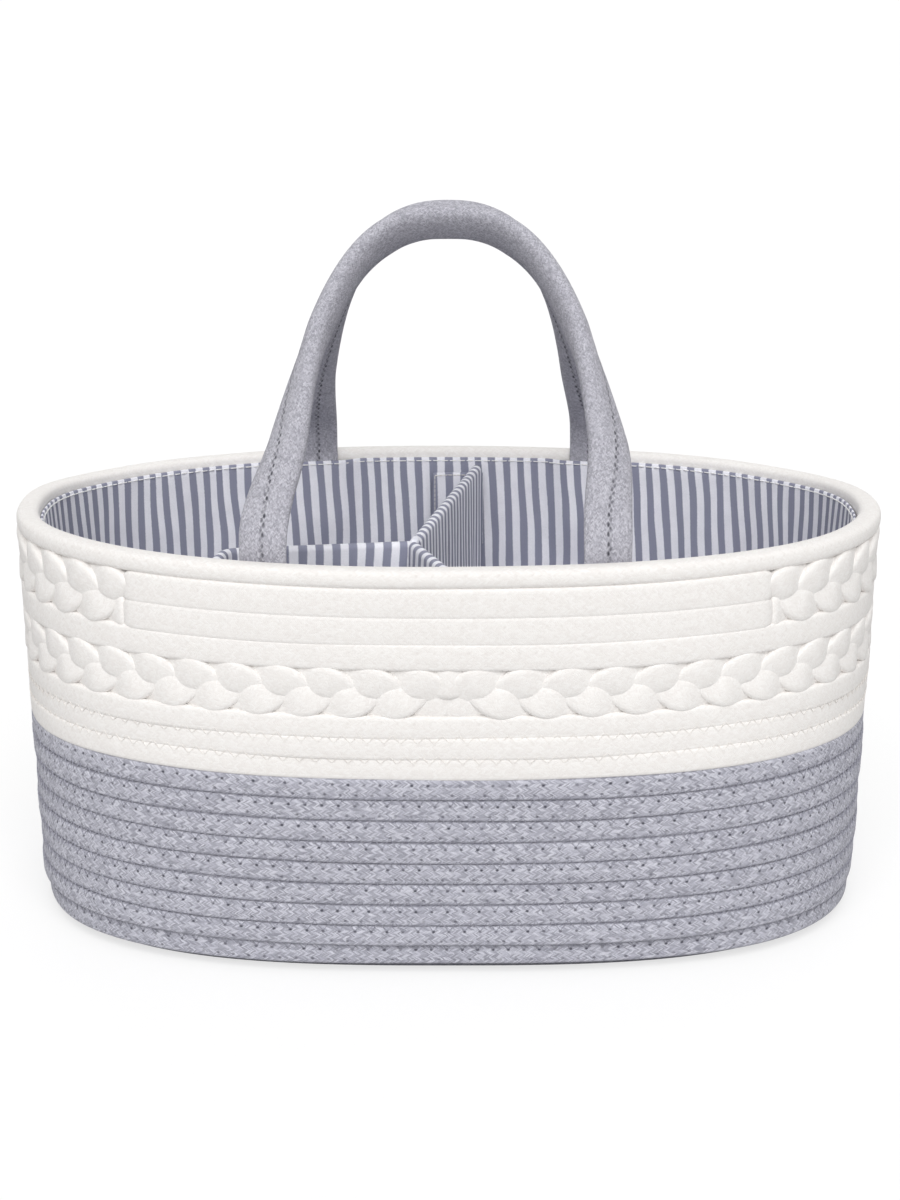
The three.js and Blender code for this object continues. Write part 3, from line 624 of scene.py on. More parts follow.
@dataclass(frozen=True)
class OvalWall:
    """The basket's outer face: a superellipse in plan, squarer at the base, rounder at the rim.

    |x / half length|^power + |y / half depth|^power = 1, all three blended from base to rim by
    height. A place round it is a share of the way from the back middle, left side first.
    """

    rim_length: float = 380.0
    rim_depth: float = 252.0
    base_length: float = 366.0
    base_depth: float = 240.0
    rim_power: float = 2.2
    base_power: float = 2.8
    rim_top: float = 175.3
    corner: float = 15.0
    rope_wide: float = 10.0
    sag: float = 2.8
    sag_spread: float = 1.6

    @property
    def rope_half(self) -> float:
        """Half a rope's width, which is the depth of the upright ropes' middle."""
        return self.rope_wide / 2

    def outline(self, height: Array) -> tuple[Array, Array, Array]:
        """Half length, half depth and power of the outline at a height."""
        rise = height / self.rim_top
        half_length = (self.base_length + (self.rim_length - self.base_length) * rise) / 2
        half_depth = (self.base_depth + (self.rim_depth - self.base_depth) * rise) / 2
        power = self.base_power + (self.rim_power - self.base_power) * np.clip(rise, 0.0, 1.0)
        return half_length, half_depth, power

    def point(self, share: Array, inset: Array | float, height: Array | float) -> Array:
        """Points of the wall.

        Args:
            share: Place round the wall, 0 to 1.
            inset: Depth inwards from the outer face, square to it.
            height: Height over the floor.

        Returns:
            Points, with the shape of the arguments and one more axis. The back hangs a little: it is
            lower by sag * (height / rim height)^2, less towards the sides.
        """
        share, inset, height = np.broadcast_arrays(share, inset, height)
        half_length, half_depth, power = self.outline(height)
        turn = np.pi / 2 + 2 * np.pi * share
        cos, sin = np.cos(turn), np.sin(turn)
        reach = (np.abs(cos) ** power + np.abs(sin) ** power) ** (-1 / power)
        nx = signed_power(cos * reach, power - 1) / half_length
        ny = signed_power(sin * reach, power - 1) / half_depth
        size = np.hypot(nx, ny)
        x = half_length * reach * cos - inset * nx / size
        y = half_depth * reach * sin - inset * ny / size
        rise = height / self.rim_top
        sunk = self.sag * rise * rise * smooth(self.sag_spread * np.maximum(sin, 0.0))
        return np.stack([x, y, height - sunk], -1)

    def inward(self, share: Array, height: Array) -> Array:
        """Direction square into the wall."""
        return unit(self.point(share, self.rope_wide, height) - self.point(share, 0.0, height))

    def lengths(self, inset: float, height: float, samples: int = 1440) -> tuple[Array, Array]:
        """Places round the wall and the length from the back middle to each."""
        share = np.linspace(0.0, 1.0, samples + 1)
        return share, arc_lengths(self.point(share, inset, height))

    def from_front(self, height: float) -> tuple[Array, Array]:
        """Lengths from the front middle, either way, along the ropes' middle, and their places."""
        share, lengths = self.lengths(self.rope_half, height)
        return lengths - lengths[-1] / 2, share

    def share_at_x(
        self, x: Array | float, side: Side, inset: Array | float, height: Array | float
    ) -> Array:
        """Place round the wall of a given x on the front or rear side."""
        x, inset, height = np.broadcast_arrays(np.asarray(x, float), inset, height)

        def short(share: Array) -> Array:
            """True for the places that come before the given x."""
            return side.value * (self.point(share, inset, height)[..., 0] - x) > 0

        start = np.full(x.shape, -side.value / 4)
        low, high = halve(start, start + 0.5, short)
        return (low + high) / 2

    def rope_middle(self, height: Array | float) -> Array:
        """Inset of a rope's middle: half its width, more round the bottom edge's rounding."""
        bend = self.corner - self.rope_half
        below = np.clip(self.corner - np.asarray(height, float), 0.0, bend)
        return self.corner - np.sqrt(bend * bend - below * below)

    def reach(self, origin: Array, heading: Array, inset: float, height: Array) -> Array:
        """Distance along a plan direction to the wall.

        Args:
            origin: Plan points inside, n by 2.
            heading: Plan direction, length one.
            inset: Depth of the face that is met.
            height: Height of each point.

        Returns:
            Distances to |x / a|^p + |y / b|^p = 1, with a and b less by the inset.
        """
        half_length, half_depth, power = self.outline(height)
        a, b = half_length - inset, half_depth - inset

        def within(far: Array) -> Array:
            """True for the distances that end inside the wall."""
            spot = origin + far[:, None] * heading
            return (np.abs(spot[:, 0] / a) ** power + np.abs(spot[:, 1] / b) ** power) < 1

        nothing = np.zeros(len(origin))
        return halve(nothing, nothing + 2 * self.rim_length, within)[0]


# ---------------------------------------------------------------- rope work


def dress(piece: Piece, material: Material, body: Body | None, slot: Slot, *nodes: str) -> Piece:
    """Gives a piece its material and its body (a blended piece has none), and hides the CAD nodes that
    it replaces.
    """
    piece.data.materials.append(material)
    if body:
        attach(piece, body.value)
    if nodes:
        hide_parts(*nodes)
    LOG.info("%s: %d faces", piece.name, len(piece.data.polygons))
    return piece


@dataclass(frozen=True)
class RopeShape:
    """Section of a sewn rope: a full oval, |out / half wide|^n + |up / half high|^n = 1.

    A rope is drawn a little taller than its course, as its neighbours press on it.
    """

    fullness: float = 5.0
    squeeze: float = 1.08
    sides: int = 24

    def ring(self) -> tuple[Array, Array]:
        """Shares outwards and upwards of the section's points."""
        return oval(section_turn(self.sides), 2 / self.fullness)

    def out_at(self, up: float) -> float:
        """Share outwards of the skin at a share upwards."""
        return (1 - abs(up) ** self.fullness) ** (1 / self.fullness)


CREAM_SHAPE = RopeShape(6.5, 1.17)
# a thread's five rings: where they lie along it, and their shares of what it is sunk and proud
THREAD_ALONG = np.array([0.0, 0.18, 0.5, 0.82, 1.0])
THREAD_SUNK = np.array([0.7, 0.0, 0.0, 0.0, 0.7])
THREAD_PROUD = np.array([0.0, 0.8, 1.0, 0.8, 0.0])


@dataclass
class Winding:
    """A rope wound level round the wall that climbs one course just before the back middle.

    The knit drifts and the rope sways and lifts a little along its way, as sewn rope does.
    """

    wall: OvalWall
    name: str
    node: str
    turns: int
    bottom: float
    course: float
    seed: float
    shape: RopeShape = field(default_factory=RopeShape)
    climb: float = 0.125
    steps: int = 320
    stitch: float = 5.5
    lower_hole: float = 2.1
    upper_hole: float = -2.3
    drift_waves: Terms = ((0.9, 2.37, 1), (0.5, 7.31, 2))
    sway_waves: Terms = ((1.0, 3.3, 1), (0.6, 11.7, 1))
    lift_waves: Terms = ((0.125, 5.9, 3),)
    sway: float = 0.25
    samples: int = 4000
    end_gap: float = 0.01
    thinnest: float = 0.02
    ring: bool = False

    def stitches_round(self) -> float:
        """Length of one turn in whole stitches."""
        middle = self.bottom + self.course * self.turns / 2
        _, lengths = self.wall.lengths(float(self.wall.rope_middle(middle)), middle)
        return self.stitch * round(lengths[-1] / self.stitch)

    def knit_length(self, turn: Array) -> Array:
        """U of the rope at a number of turns: whole stitches a turn, with a slow uneven drift."""
        return self.stitches_round() * turn + waves(turn, self.seed, self.drift_waves)

    def middle(self, turn: Array) -> tuple[Array, Array, Array, Array]:
        """Middle line of the rope.

        Args:
            turn: Number of turns from the start.

        Returns:
            Inset and height of the middle, half the width and half the height there.
        """
        low = courses_climbed(turn, self.climb) * (not self.ring)
        high = np.minimum(self.turns, courses_climbed(turn + 1, self.climb))
        size = np.maximum(high - low, self.thinnest)
        inset = self.wall.rope_middle(self.bottom + self.course * (low + 0.5))
        sway = self.sway * waves(turn, self.seed, self.sway_waves)
        lift = waves(turn, self.seed, self.lift_waves)
        height = self.bottom + self.course * (low + high) / 2 + lift * size
        half_high = self.course * size / 2 * (1 + (self.shape.squeeze - 1) * size)
        return inset - sway * size, height, self.wall.rope_wide / 4 * (1 + size), half_high

    def build(self, material: Material, slot: Slot) -> None:
        """Makes the rope in its node's place; a ring's two ends join into one closed loop."""
        turn = np.linspace(-self.climb, self.turns, int(self.steps * (self.turns + self.climb)))[1:-1]
        if self.ring:
            turn = np.arange(self.steps) / self.steps
        inset, height, wide, high = self.middle(turn)
        out, up = self.shape.ring()
        grid = self.wall.point(
            turn[:, None], inset[:, None] - wide[:, None] * out, height[:, None] + high[:, None] * up
        )
        uv = section_uv(grid, self.knit_length(turn), self.shape.sides // 2)
        if self.ring:
            uv = joined_uv(uv, self.knit_length(np.ones(1))[0])
        dress(tube_mesh(self.name, grid, uv, self.ring), material, Body.BASKET, slot, self.node)

    def hole(self, turn: Array, around: float) -> Array:
        """Points on the rope's skin a little way above or below its outermost line."""
        inset, height, wide, high = self.middle(turn)
        up = around / (self.course / 2)
        return self.wall.point(turn, inset - wide * self.shape.out_at(up), height + high * up)

    def sew(self, name: str, material: Material, slot: Slot, thick: float) -> None:
        """Makes the zigzag of threads over the valleys between its courses, as one piece."""
        table = np.linspace(0.0, self.turns, self.samples * self.turns)
        length = self.knit_length(table)
        number = np.arange(1, int(length[-1] / self.stitch) - 1)
        lower = np.interp(self.stitch * number, length, table)
        upper = np.interp(self.stitch * (number + 0.5), length, table) + 1
        keep = (upper < self.turns - self.climb) & (lower < self.turns - 1 - self.end_gap)
        low, high = self.hole(lower[keep], self.lower_hole), self.hole(upper[keep], self.upper_hole)
        outward = -self.wall.inward(lower[keep], low[:, 2])
        starts, ends = np.concatenate([low, low[1:]]), np.concatenate([high, high[:-1]])
        outward = np.concatenate([outward, outward[1:]])
        dress(thread_mesh(name, starts, ends, outward, thick), material, Body.BASKET, slot)


def thread_mesh(
    name: str, starts: Array, ends: Array, outward: Array, thick: float, proud: float = 0.0
) -> Piece:
    """Makes many short threads as one piece.

    Args:
        name: Name of the piece.
        starts: Where each thread comes out, n by 3.
        ends: Where each goes in, n by 3.
        outward: Direction away from the cloth, n by 3.
        thick: The thread's thickness.
        proud: How far its middle stands off the cloth.

    Returns:
        The object. A thread is square in section and sunk into the cloth at both ends.
    """
    lift = THREAD_PROUD * proud - THREAD_SUNK * thick
    turn = 2 * np.pi * (np.arange(4) + 0.5) / 4
    wide = unit(np.cross(unit(ends - starts), outward))
    run = (ends - starts)[:, None] * THREAD_ALONG[:, None]
    middle = starts[:, None] + run + outward[:, None] * lift[:, None]
    ring = np.cos(turn)[:, None] * wide[:, None, None] + np.sin(turn)[:, None] * outward[:, None, None]
    grid = middle[:, :, None] + thick / 2 * ring
    count, rows, sides = grid.shape[:3]
    faces, rise, around = grid_faces(rows, sides, False)
    lids = np.array([[3, 2, 1, 0], [0, 1, 2, 3]]) + np.array([[0], [(rows - 1) * sides]])
    one = np.concatenate([faces, lids])
    every = (one[None] + (np.arange(count) * rows * sides)[:, None, None]).reshape(-1, 4)
    uv = np.concatenate([np.stack([rise * 1.0, around * thick], -1), np.zeros((2, 4, 2))])
    return make_mesh(name, grid.reshape(-1, 3), every, np.tile(uv, (count, 1, 1)))


@dataclass
class BraidBand:
    """A flat braid of three cords, mirrored about the front middle.

    On the unrolled band a cord's middle is up = rise * (sin(phase) + dwell * sin(3 * phase)) and
    out = swing * over, over = sin(2 * phase) + front * exp(-(s / meet)^2), with phase =
    lead + 2 pi |s| / period, s the length from the front middle and front the cord's own share in
    how the two mirrored halves meet there; at the back middle they meet in the same way. `cords`
    holds each cord's lead, in twelfths of a period, and its front. An open band leaves out
    `plain_half` on either side of the front middle, and its ends taper and tuck in.
    """

    wall: OvalWall
    name: str
    bottom: float
    height: float
    plain_half: float = 0.0
    periods: int = 9
    cords: tuple[tuple[int, float], ...] = ((3, 1.3), (7, -1.4), (11, 0.0))
    half_wide: float = 6.8
    half_thick: float = 4.3
    swing: float = 0.7
    proud: float = -0.3
    overlap: float = 1.1
    dwell: float = 0.13
    meet: float = 8.0
    blunt: float = 2.0
    wider: float = 0.06
    thicker: float = 0.12
    roll: float = 0.0875
    squareness: float = 0.44
    taper: float = 7.0
    tuck: float = 2.5
    tip: float = 0.3
    sides: int = 20
    step: float = 1.5

    def cord(self, lead: float, front: float) -> tuple[Array, Array]:
        """Works out one cord.

        Args:
            lead: Its phase at the front middle.
            front: How far it comes forwards there.

        Returns:
            Rings of points and U of each.
        """
        lengths, share = self.wall.from_front(self.bottom + self.height / 2)
        half, start = lengths[-1], self.plain_half
        count = int(2 * (half - start) / self.step)
        s = np.linspace(start, 2 * half - start, count, endpoint=start > 0)
        size = np.minimum(s, 2 * half - s)
        rounded = np.sqrt(np.minimum(size, half - size) ** 2 + self.blunt)
        away = np.where(size < half / 2, rounded, half - rounded)
        phase = lead + 2 * np.pi * away / (half / self.periods)
        rise = self.height / 2 + self.overlap - self.half_wide
        up = rise * (np.sin(phase) + self.dwell * np.sin(3 * phase)) / (1 - self.dwell)
        tilt = np.arctan(np.gradient(up, s))
        over = np.sin(2 * phase) + front * np.exp(-((np.minimum(size, half - size) / self.meet) ** 2))
        out = self.proud + self.swing * over
        wide = self.half_wide * (1 + self.wider * over)
        thick = self.half_thick * (1 + self.thicker * over)
        if start:
            close = smooth(np.minimum(s - start, 2 * half - start - s) / self.taper)
            narrow = self.tip + (1 - self.tip) * close
            out, wide, thick = out - self.tuck * (1 - close), wide * narrow, thick * narrow
        outer, across = oval(section_turn(self.sides), self.squareness)
        aside = wide[:, None] * across
        deep = thick[:, None] * outer + aside * (self.roll * np.cos(phase))[:, None]
        place = s[:, None] - aside * np.sin(tilt)[:, None]
        place = np.where(place > half, place - 2 * half, place)
        grid = self.wall.point(
            np.interp(place, lengths, share),
            self.wall.rope_half - out[:, None] - deep,
            self.bottom + self.height / 2 + up[:, None] + aside * np.cos(tilt)[:, None],
        )
        return grid, arc_lengths(np.stack([s, up, out], 1))

    def build(self, material: Material) -> None:
        """Makes the band's three cords, a third of a period apart."""
        closed = self.plain_half == 0.0
        for number, (lead, front) in enumerate(self.cords, 1):
            grid, along = self.cord(lead * math.pi / 6, front)
            uv = section_uv(grid, along, self.sides // 2)
            if closed:
                uv = joined_uv(uv, along[-1] + self.step)
            piece = tube_mesh(f"{self.name}_{number}_cord", grid, uv, closed)
            dress(piece, material, Body.BASKET, Slot.CREAM_ROPE, f"{self.name}_{number}")


@dataclass
class PlainRun:
    """A straight run of rope across the front between the upper braid's ends."""

    wall: OvalWall
    name: str
    node: str
    bottom: float
    course: float
    half_span: float
    overlap: float = 6.0
    taper: float = 8.0
    tip: float = 0.06
    shape: RopeShape = CREAM_SHAPE
    steps: int = 120

    def build(self, material: Material) -> None:
        """Makes the run; its ends taper and tuck in under the braid."""
        lengths, share = self.wall.from_front(self.bottom + self.course / 2)
        reach = self.half_span + self.overlap
        s = np.linspace(-reach, reach, self.steps)
        close = np.sqrt(1 - (1 - np.clip((reach - np.abs(s)) / self.taper, 0.0, 1.0)) ** 2)
        close = (self.tip + (1 - self.tip) * close)[:, None]
        out, up = self.shape.ring()
        grid = self.wall.point(
            np.interp(s, lengths, share)[:, None],
            self.wall.rope_half - self.wall.rope_half * close * out,
            self.bottom + self.course / 2 + self.course / 2 * self.shape.squeeze * close * up,
        )
        piece = tube_mesh(self.name, grid, section_uv(grid, s, self.shape.sides // 2))
        dress(piece, material, Body.BASKET, Slot.CREAM_ROPE, self.node)


@dataclass
class BaseCoil:
    """The flat base: a rope coiled from a middle line outwards, loop beside loop.

    It is pressed flat on the floor: its section's middle and half height are `pressed` times half
    its thickness, and nothing of it lies under the floor.
    """

    wall: OvalWall
    edge: float = 9.95
    loops: int = 11
    thick: float = 8.3
    climb: float = 0.125
    lead: float = 1 / 24
    thinnest: float = 0.03
    pressed: tuple[float, float] = (0.92, 1.08)
    steps: int = 240
    shape: RopeShape = field(default_factory=lambda: RopeShape(sides=16))

    def build(self, material: Material) -> None:
        """Makes the coil: a point lies on the spoke from middle line to edge, at its loop's share."""
        turn = np.linspace(-self.climb, self.loops, self.steps * self.loops)[1:-1]
        low = courses_climbed(turn, self.climb)
        high = np.minimum(self.loops, courses_climbed(turn + 1, self.climb))
        size = np.maximum(high - low, self.thinnest)
        rim = self.wall.point(turn + self.lead, self.edge, 0.0)[:, :2]
        tip = self.wall.point(np.array([0.75]), self.edge, 0.0)[0, 0]
        side = self.wall.point(np.array([0.0]), self.edge, 0.0)[0, 1]
        hub = np.stack([np.clip(rim[:, 0], side - tip, tip - side), np.zeros(len(rim))], 1)
        out, up = self.shape.ring()
        at = ((low + high)[:, None] / 2 + size[:, None] / 2 * out) / self.loops
        plan = hub[:, None] + (rim - hub)[:, None] * at[..., None]
        half_high = self.thick / 2 * (0.5 + 0.5 * size)
        height = np.maximum(half_high[:, None] * (self.pressed[0] + self.pressed[1] * up), 0.0)
        grid = np.concatenate([plan, height[..., None]], -1)
        piece = tube_mesh("base_rope_coil", grid, section_uv(grid, arc_lengths(grid.mean(1))))
        dress(piece, material, Body.BASKET, Slot.GREY_ROPE, "base_coil")


@dataclass
class RopeBasket:
    """The basket's rope work: base, courses, braids, rim and the threads that sew them."""

    wall: OvalWall = field(default_factory=OvalWall)
    grey_bottom: float = 4.4
    grey_course: float = 9.25
    grey_turns: int = 9
    white_course: float = 8.75
    white_turns: int = 3
    middle_course: float = 10.1
    lower_braid: float = 20.4
    upper_braid: float = 22.6
    rim_course: float = 8.3
    plain_half: float = 130.6
    braid_lap: float = 2.0

    def build(self, finishes: Finishes) -> None:
        """Makes all rope pieces in order from the floor up."""
        wall, cream, grey = self.wall, finishes.cream_rope, finishes.grey_rope
        white = self.grey_bottom + self.grey_turns * self.grey_course
        lower = white + self.white_turns * self.white_course
        middle = lower + self.lower_braid
        upper = middle + self.middle_course
        rim = upper + self.upper_braid
        grey_wall = Winding(
            wall, "grey_rope_wall", "grey_wall_winding", self.grey_turns, self.grey_bottom,
            self.grey_course, seed=0.4,
        )
        white_wall = Winding(
            wall, "white_rope_wall", "white_wall_winding", self.white_turns, white,
            self.white_course, seed=1.9, shape=CREAM_SHAPE,
        )
        middle_rope = Winding(
            wall, "middle_rope_course", "middle_course", 1, middle, self.middle_course,
            seed=3.1, shape=CREAM_SHAPE,
        )
        rim_rope = Winding(
            wall, "rim_rope", "rim_course", 1, rim, self.rim_course,
            seed=4.4, shape=RopeShape(3.0, 1.0), ring=True,
        )
        BaseCoil(wall).build(grey)
        grey_wall.build(grey, Slot.GREY_ROPE)
        white_wall.build(cream, Slot.CREAM_ROPE)
        BraidBand(wall, "lower_braid_strand", lower, self.lower_braid).build(finishes.cream_braid)
        middle_rope.build(cream, Slot.CREAM_ROPE)
        open_half = self.plain_half - self.braid_lap
        open_band = BraidBand(wall, "upper_braid_strand", upper, self.upper_braid, open_half)
        open_band.build(finishes.cream_braid)
        half = self.upper_braid / 2
        for name, low in (("lower", upper), ("upper", upper + half)):
            names = f"front_{name}_rope", f"front_{name}_course"
            PlainRun(wall, *names, low, half, self.plain_half).build(cream)
        rim_rope.build(cream, Slot.CREAM_ROPE)
        grey_wall.sew("grey_rope_stitches", finishes.grey_thread, Slot.GREY_ROPE, thick=0.42)
        white_wall.sew("white_rope_stitches", finishes.cream_thread, Slot.CREAM_ROPE, thick=0.3)


# ---------------------------------------------------------------- lining


@dataclass(frozen=True)
class Foot:
    """Where a strap's end is sewn in: its x and its side."""

    x: float
    side: Side


FEET = (Foot(-73.5, Side.FRONT), Foot(63.5, Side.FRONT), Foot(-64.3, Side.REAR), Foot(69.5, Side.REAR))


@dataclass
class Lining:
    """Striped cotton lining: a sleeve sewn under the rim, and a floor.

    The sleeve stands in by `bulge` over the sewn-in strap ends; its stripes lean by `lean`.
    """

    wall: OvalWall = field(default_factory=OvalWall)
    inset: float = 10.4
    thick: float = 1.2
    top: float = 170.5
    foot_inset: float = 12.3
    foot_height: float = 10.1
    foot_bend: float = 6.0
    bulge: float = 3.5
    bulge_half: float = 10.6
    bulge_ramp: float = 11.0
    bulge_foot: float = 112.0
    bulge_rise: float = 31.0
    slack: float = 0.45
    ripples: Terms = ((1.0, 17, 0.6, 0.0), (0.7, 29, 2.1, 0.012), (0.4, 53, 0.0, 0.0))
    held_fast: float = 0.6
    lip_rise: float = 0.45
    lip_narrow: float = 0.35
    pitch: float = STRIPE_PITCH
    lean: float = 0.045
    columns: int = 520
    rows: int = 44
    floor_bottom: float = 8.6
    floor_top: float = 9.6
    floor_slack: float = 0.25
    floor_wave: tuple[float, float] = (9.0, 13.0)
    floor_columns: int = 240
    floor_rings: tuple[float, ...] = (0.001, 0.15, 0.3, 0.45, 0.6, 0.75, 0.88, 0.97, 1.0)
    hem_drop: float = 1.1
    hem_lift: float = 0.15
    hem_pitch: float = 3.4
    hem_stitch: float = 0.86

    def swelling(self, share: Array, height: Array) -> Array:
        """How far the cloth stands in over the four sewn-in strap ends, eased at their edges."""
        place = self.wall.point(share, self.inset, self.wall.rim_top)
        swell = np.zeros(np.broadcast(share, height).shape)
        for foot in FEET:
            away = np.abs(place[..., 0] - foot.x)
            near = smooth((self.bulge_half + self.bulge_ramp - away) / self.bulge_ramp)
            near = near * (np.sign(place[..., 1]) == foot.side.value)
            swell = np.maximum(swell, near * smooth((height - self.bulge_foot) / self.bulge_rise))
        return self.bulge * swell

    def ripple(self, share: Array, height: Array) -> Array:
        """Slow slack of the cloth between its seams, inwards.

        The sum of size * sin(often * turn + shift + lean * height) over `ripples`, held at both seams.
        """
        turn = 2 * np.pi * share
        loose = sum(
            size * np.sin(often * turn + shift + lean * height)
            for size, often, shift, lean in self.ripples
        )
        rise = (height - self.foot_height) / (self.top - self.foot_height)
        held = np.sin(np.pi * np.clip(rise, 0, 1)) ** self.held_fast
        return self.slack * (loose + 1.0) * held

    def build(self, finishes: Finishes) -> None:
        """Makes the sleeve, the floor cloth and the hem's stitches."""
        share = np.arange(self.columns) / self.columns
        height = np.linspace(self.foot_height, self.top, self.rows)
        straight = smooth((height - self.foot_height) / self.foot_bend)
        fall = (self.foot_inset - self.inset) * (1 - straight)
        outer = self.inset + fall + self.swelling(share[:, None], height)
        inner = outer + self.thick + self.ripple(share[:, None], height)
        inner[:, 0] = outer[:, 0] + self.thick
        lip_height = np.full(2, self.top + self.lip_rise)
        lip_inset = np.stack([inner[:, -1] - self.lip_narrow, outer[:, -1] + self.lip_narrow], 1)
        profile = ((inner, height), (lip_inset, lip_height), (outer[:, ::-1], height[::-1]))
        runs = [self.wall.point(share[:, None], inset, level) for inset, level in profile]
        grid = np.concatenate(runs, 1)
        shares, lengths = self.wall.lengths(self.inset, self.top)
        around = np.interp(np.linspace(0, 1, self.columns + 1), shares, lengths / lengths[-1])
        around = around * round(lengths[-1] / self.pitch) * self.pitch
        along = np.concatenate([height, lip_height, height[::-1], height[:1]])
        uv = np.stack(np.broadcast_arrays(around[:, None] + self.lean * (self.top - along), along), -1)
        sleeve = tube_mesh("lining_wall_cloth", grid, uv, ring=True)
        dress(sleeve, finishes.stripes, Body.BASKET, Slot.STRIPES, "lining_wall")
        floor = self._floor(finishes)
        self._hem_stitches(finishes)

    def _floor(self, finishes: Finishes) -> Piece:
        """Makes the floor cloth: rings from the middle to the edge, a little slack over the coil."""
        share = np.arange(self.floor_columns) / self.floor_columns
        edge = self.wall.point(share, self.foot_inset, self.floor_bottom)[:, :2]
        plan = edge[:, None] * np.array(self.floor_rings)[:, None]
        loose = self.floor_slack * np.prod(np.sin(plan / self.floor_wave), -1)
        top = raised(plan, self.floor_top + loose)[:, ::-1]
        grid = np.concatenate([raised(plan, self.floor_bottom), top], 1)
        closed = np.concatenate([grid, grid[:, :1]], 1)
        uv = np.concatenate([closed[..., :2], closed[:1, :, :2]])
        piece = tube_mesh("lining_floor_cloth", grid, uv, ring=True)
        return dress(piece, finishes.stripes, Body.BASKET, Slot.STRIPES, "lining_floor")

    def _hem_stitches(self, finishes: Finishes) -> None:
        """Makes the running stitches just under the hem."""
        _, lengths = self.wall.lengths(self.inset, self.top)
        count = int(lengths[-1] / self.hem_pitch)
        share = np.arange(count) / count
        height = np.full(count, self.top - self.hem_drop)
        inset = self.inset + self.thick + self.swelling(share, height) + self.hem_lift
        ends = [
            self.wall.point(share + ahead / count, inset, height)
            for ahead in (0.0, self.hem_stitch)
        ]
        inward = self.wall.inward(share, height)
        threads = thread_mesh("lining_hem_stitches", *ends, inward, thick=0.6, proud=0.2)
        dress(threads, finishes.hem_thread, Body.BASKET, Slot.STRIPES)


# ---------------------------------------------------------------- divider


@dataclass
class Patch:
    """A flat patch that lies along the wall: front face, rounded edge, back face.

    Its free edge, at x = `free`, curls inwards by `curl` over its last `curl_wide`.
    """

    wall: OvalWall
    side: Side
    inset: float
    thick: float
    levels: tuple[float, float]
    edge: float
    free: float = 0.0
    curl: float = 0.0
    curl_wide: float = 6.0
    thin: float = 0.15
    columns: int = 26
    rows: int = 16

    def curled(self, x: Array) -> Array:
        """How far the patch curls away from the wall at an x."""
        return self.curl * np.clip(1 - np.abs(x - self.free) / self.curl_wide, 0.0, 1.0) ** 2

    def rounded(self, away: Array) -> Array:
        """Share of the full thickness at a distance from the rim."""
        return np.clip(away / self.edge, self.thin, 1.0) ** 0.5

    def build(self, name: str, span: Sequence[float]) -> Piece:
        """Makes the patch between two x."""
        across = np.linspace(span[0], span[1], self.columns)[:, None]
        bottom, top = self.levels
        up = np.concatenate([np.linspace(bottom, top, self.rows), np.linspace(top, bottom, self.rows)])
        soft = self.rounded(np.minimum(across - span[0], span[1] - across))
        soft = soft * self.rounded(np.minimum(up - bottom, top - up))
        face = np.where(np.arange(2 * self.rows) < self.rows, 1.0, -1.0)
        deep = self.inset + self.thick / 2 + self.thick / 2 * face * soft + self.curled(across)
        grid = self.wall.point(self.wall.share_at_x(across, self.side, deep, up), deep, up)
        grid[..., 2] = up
        uv = np.stack(np.broadcast_arrays(across, np.append(up, up[0])), -1)
        return tube_mesh(name, grid, uv)


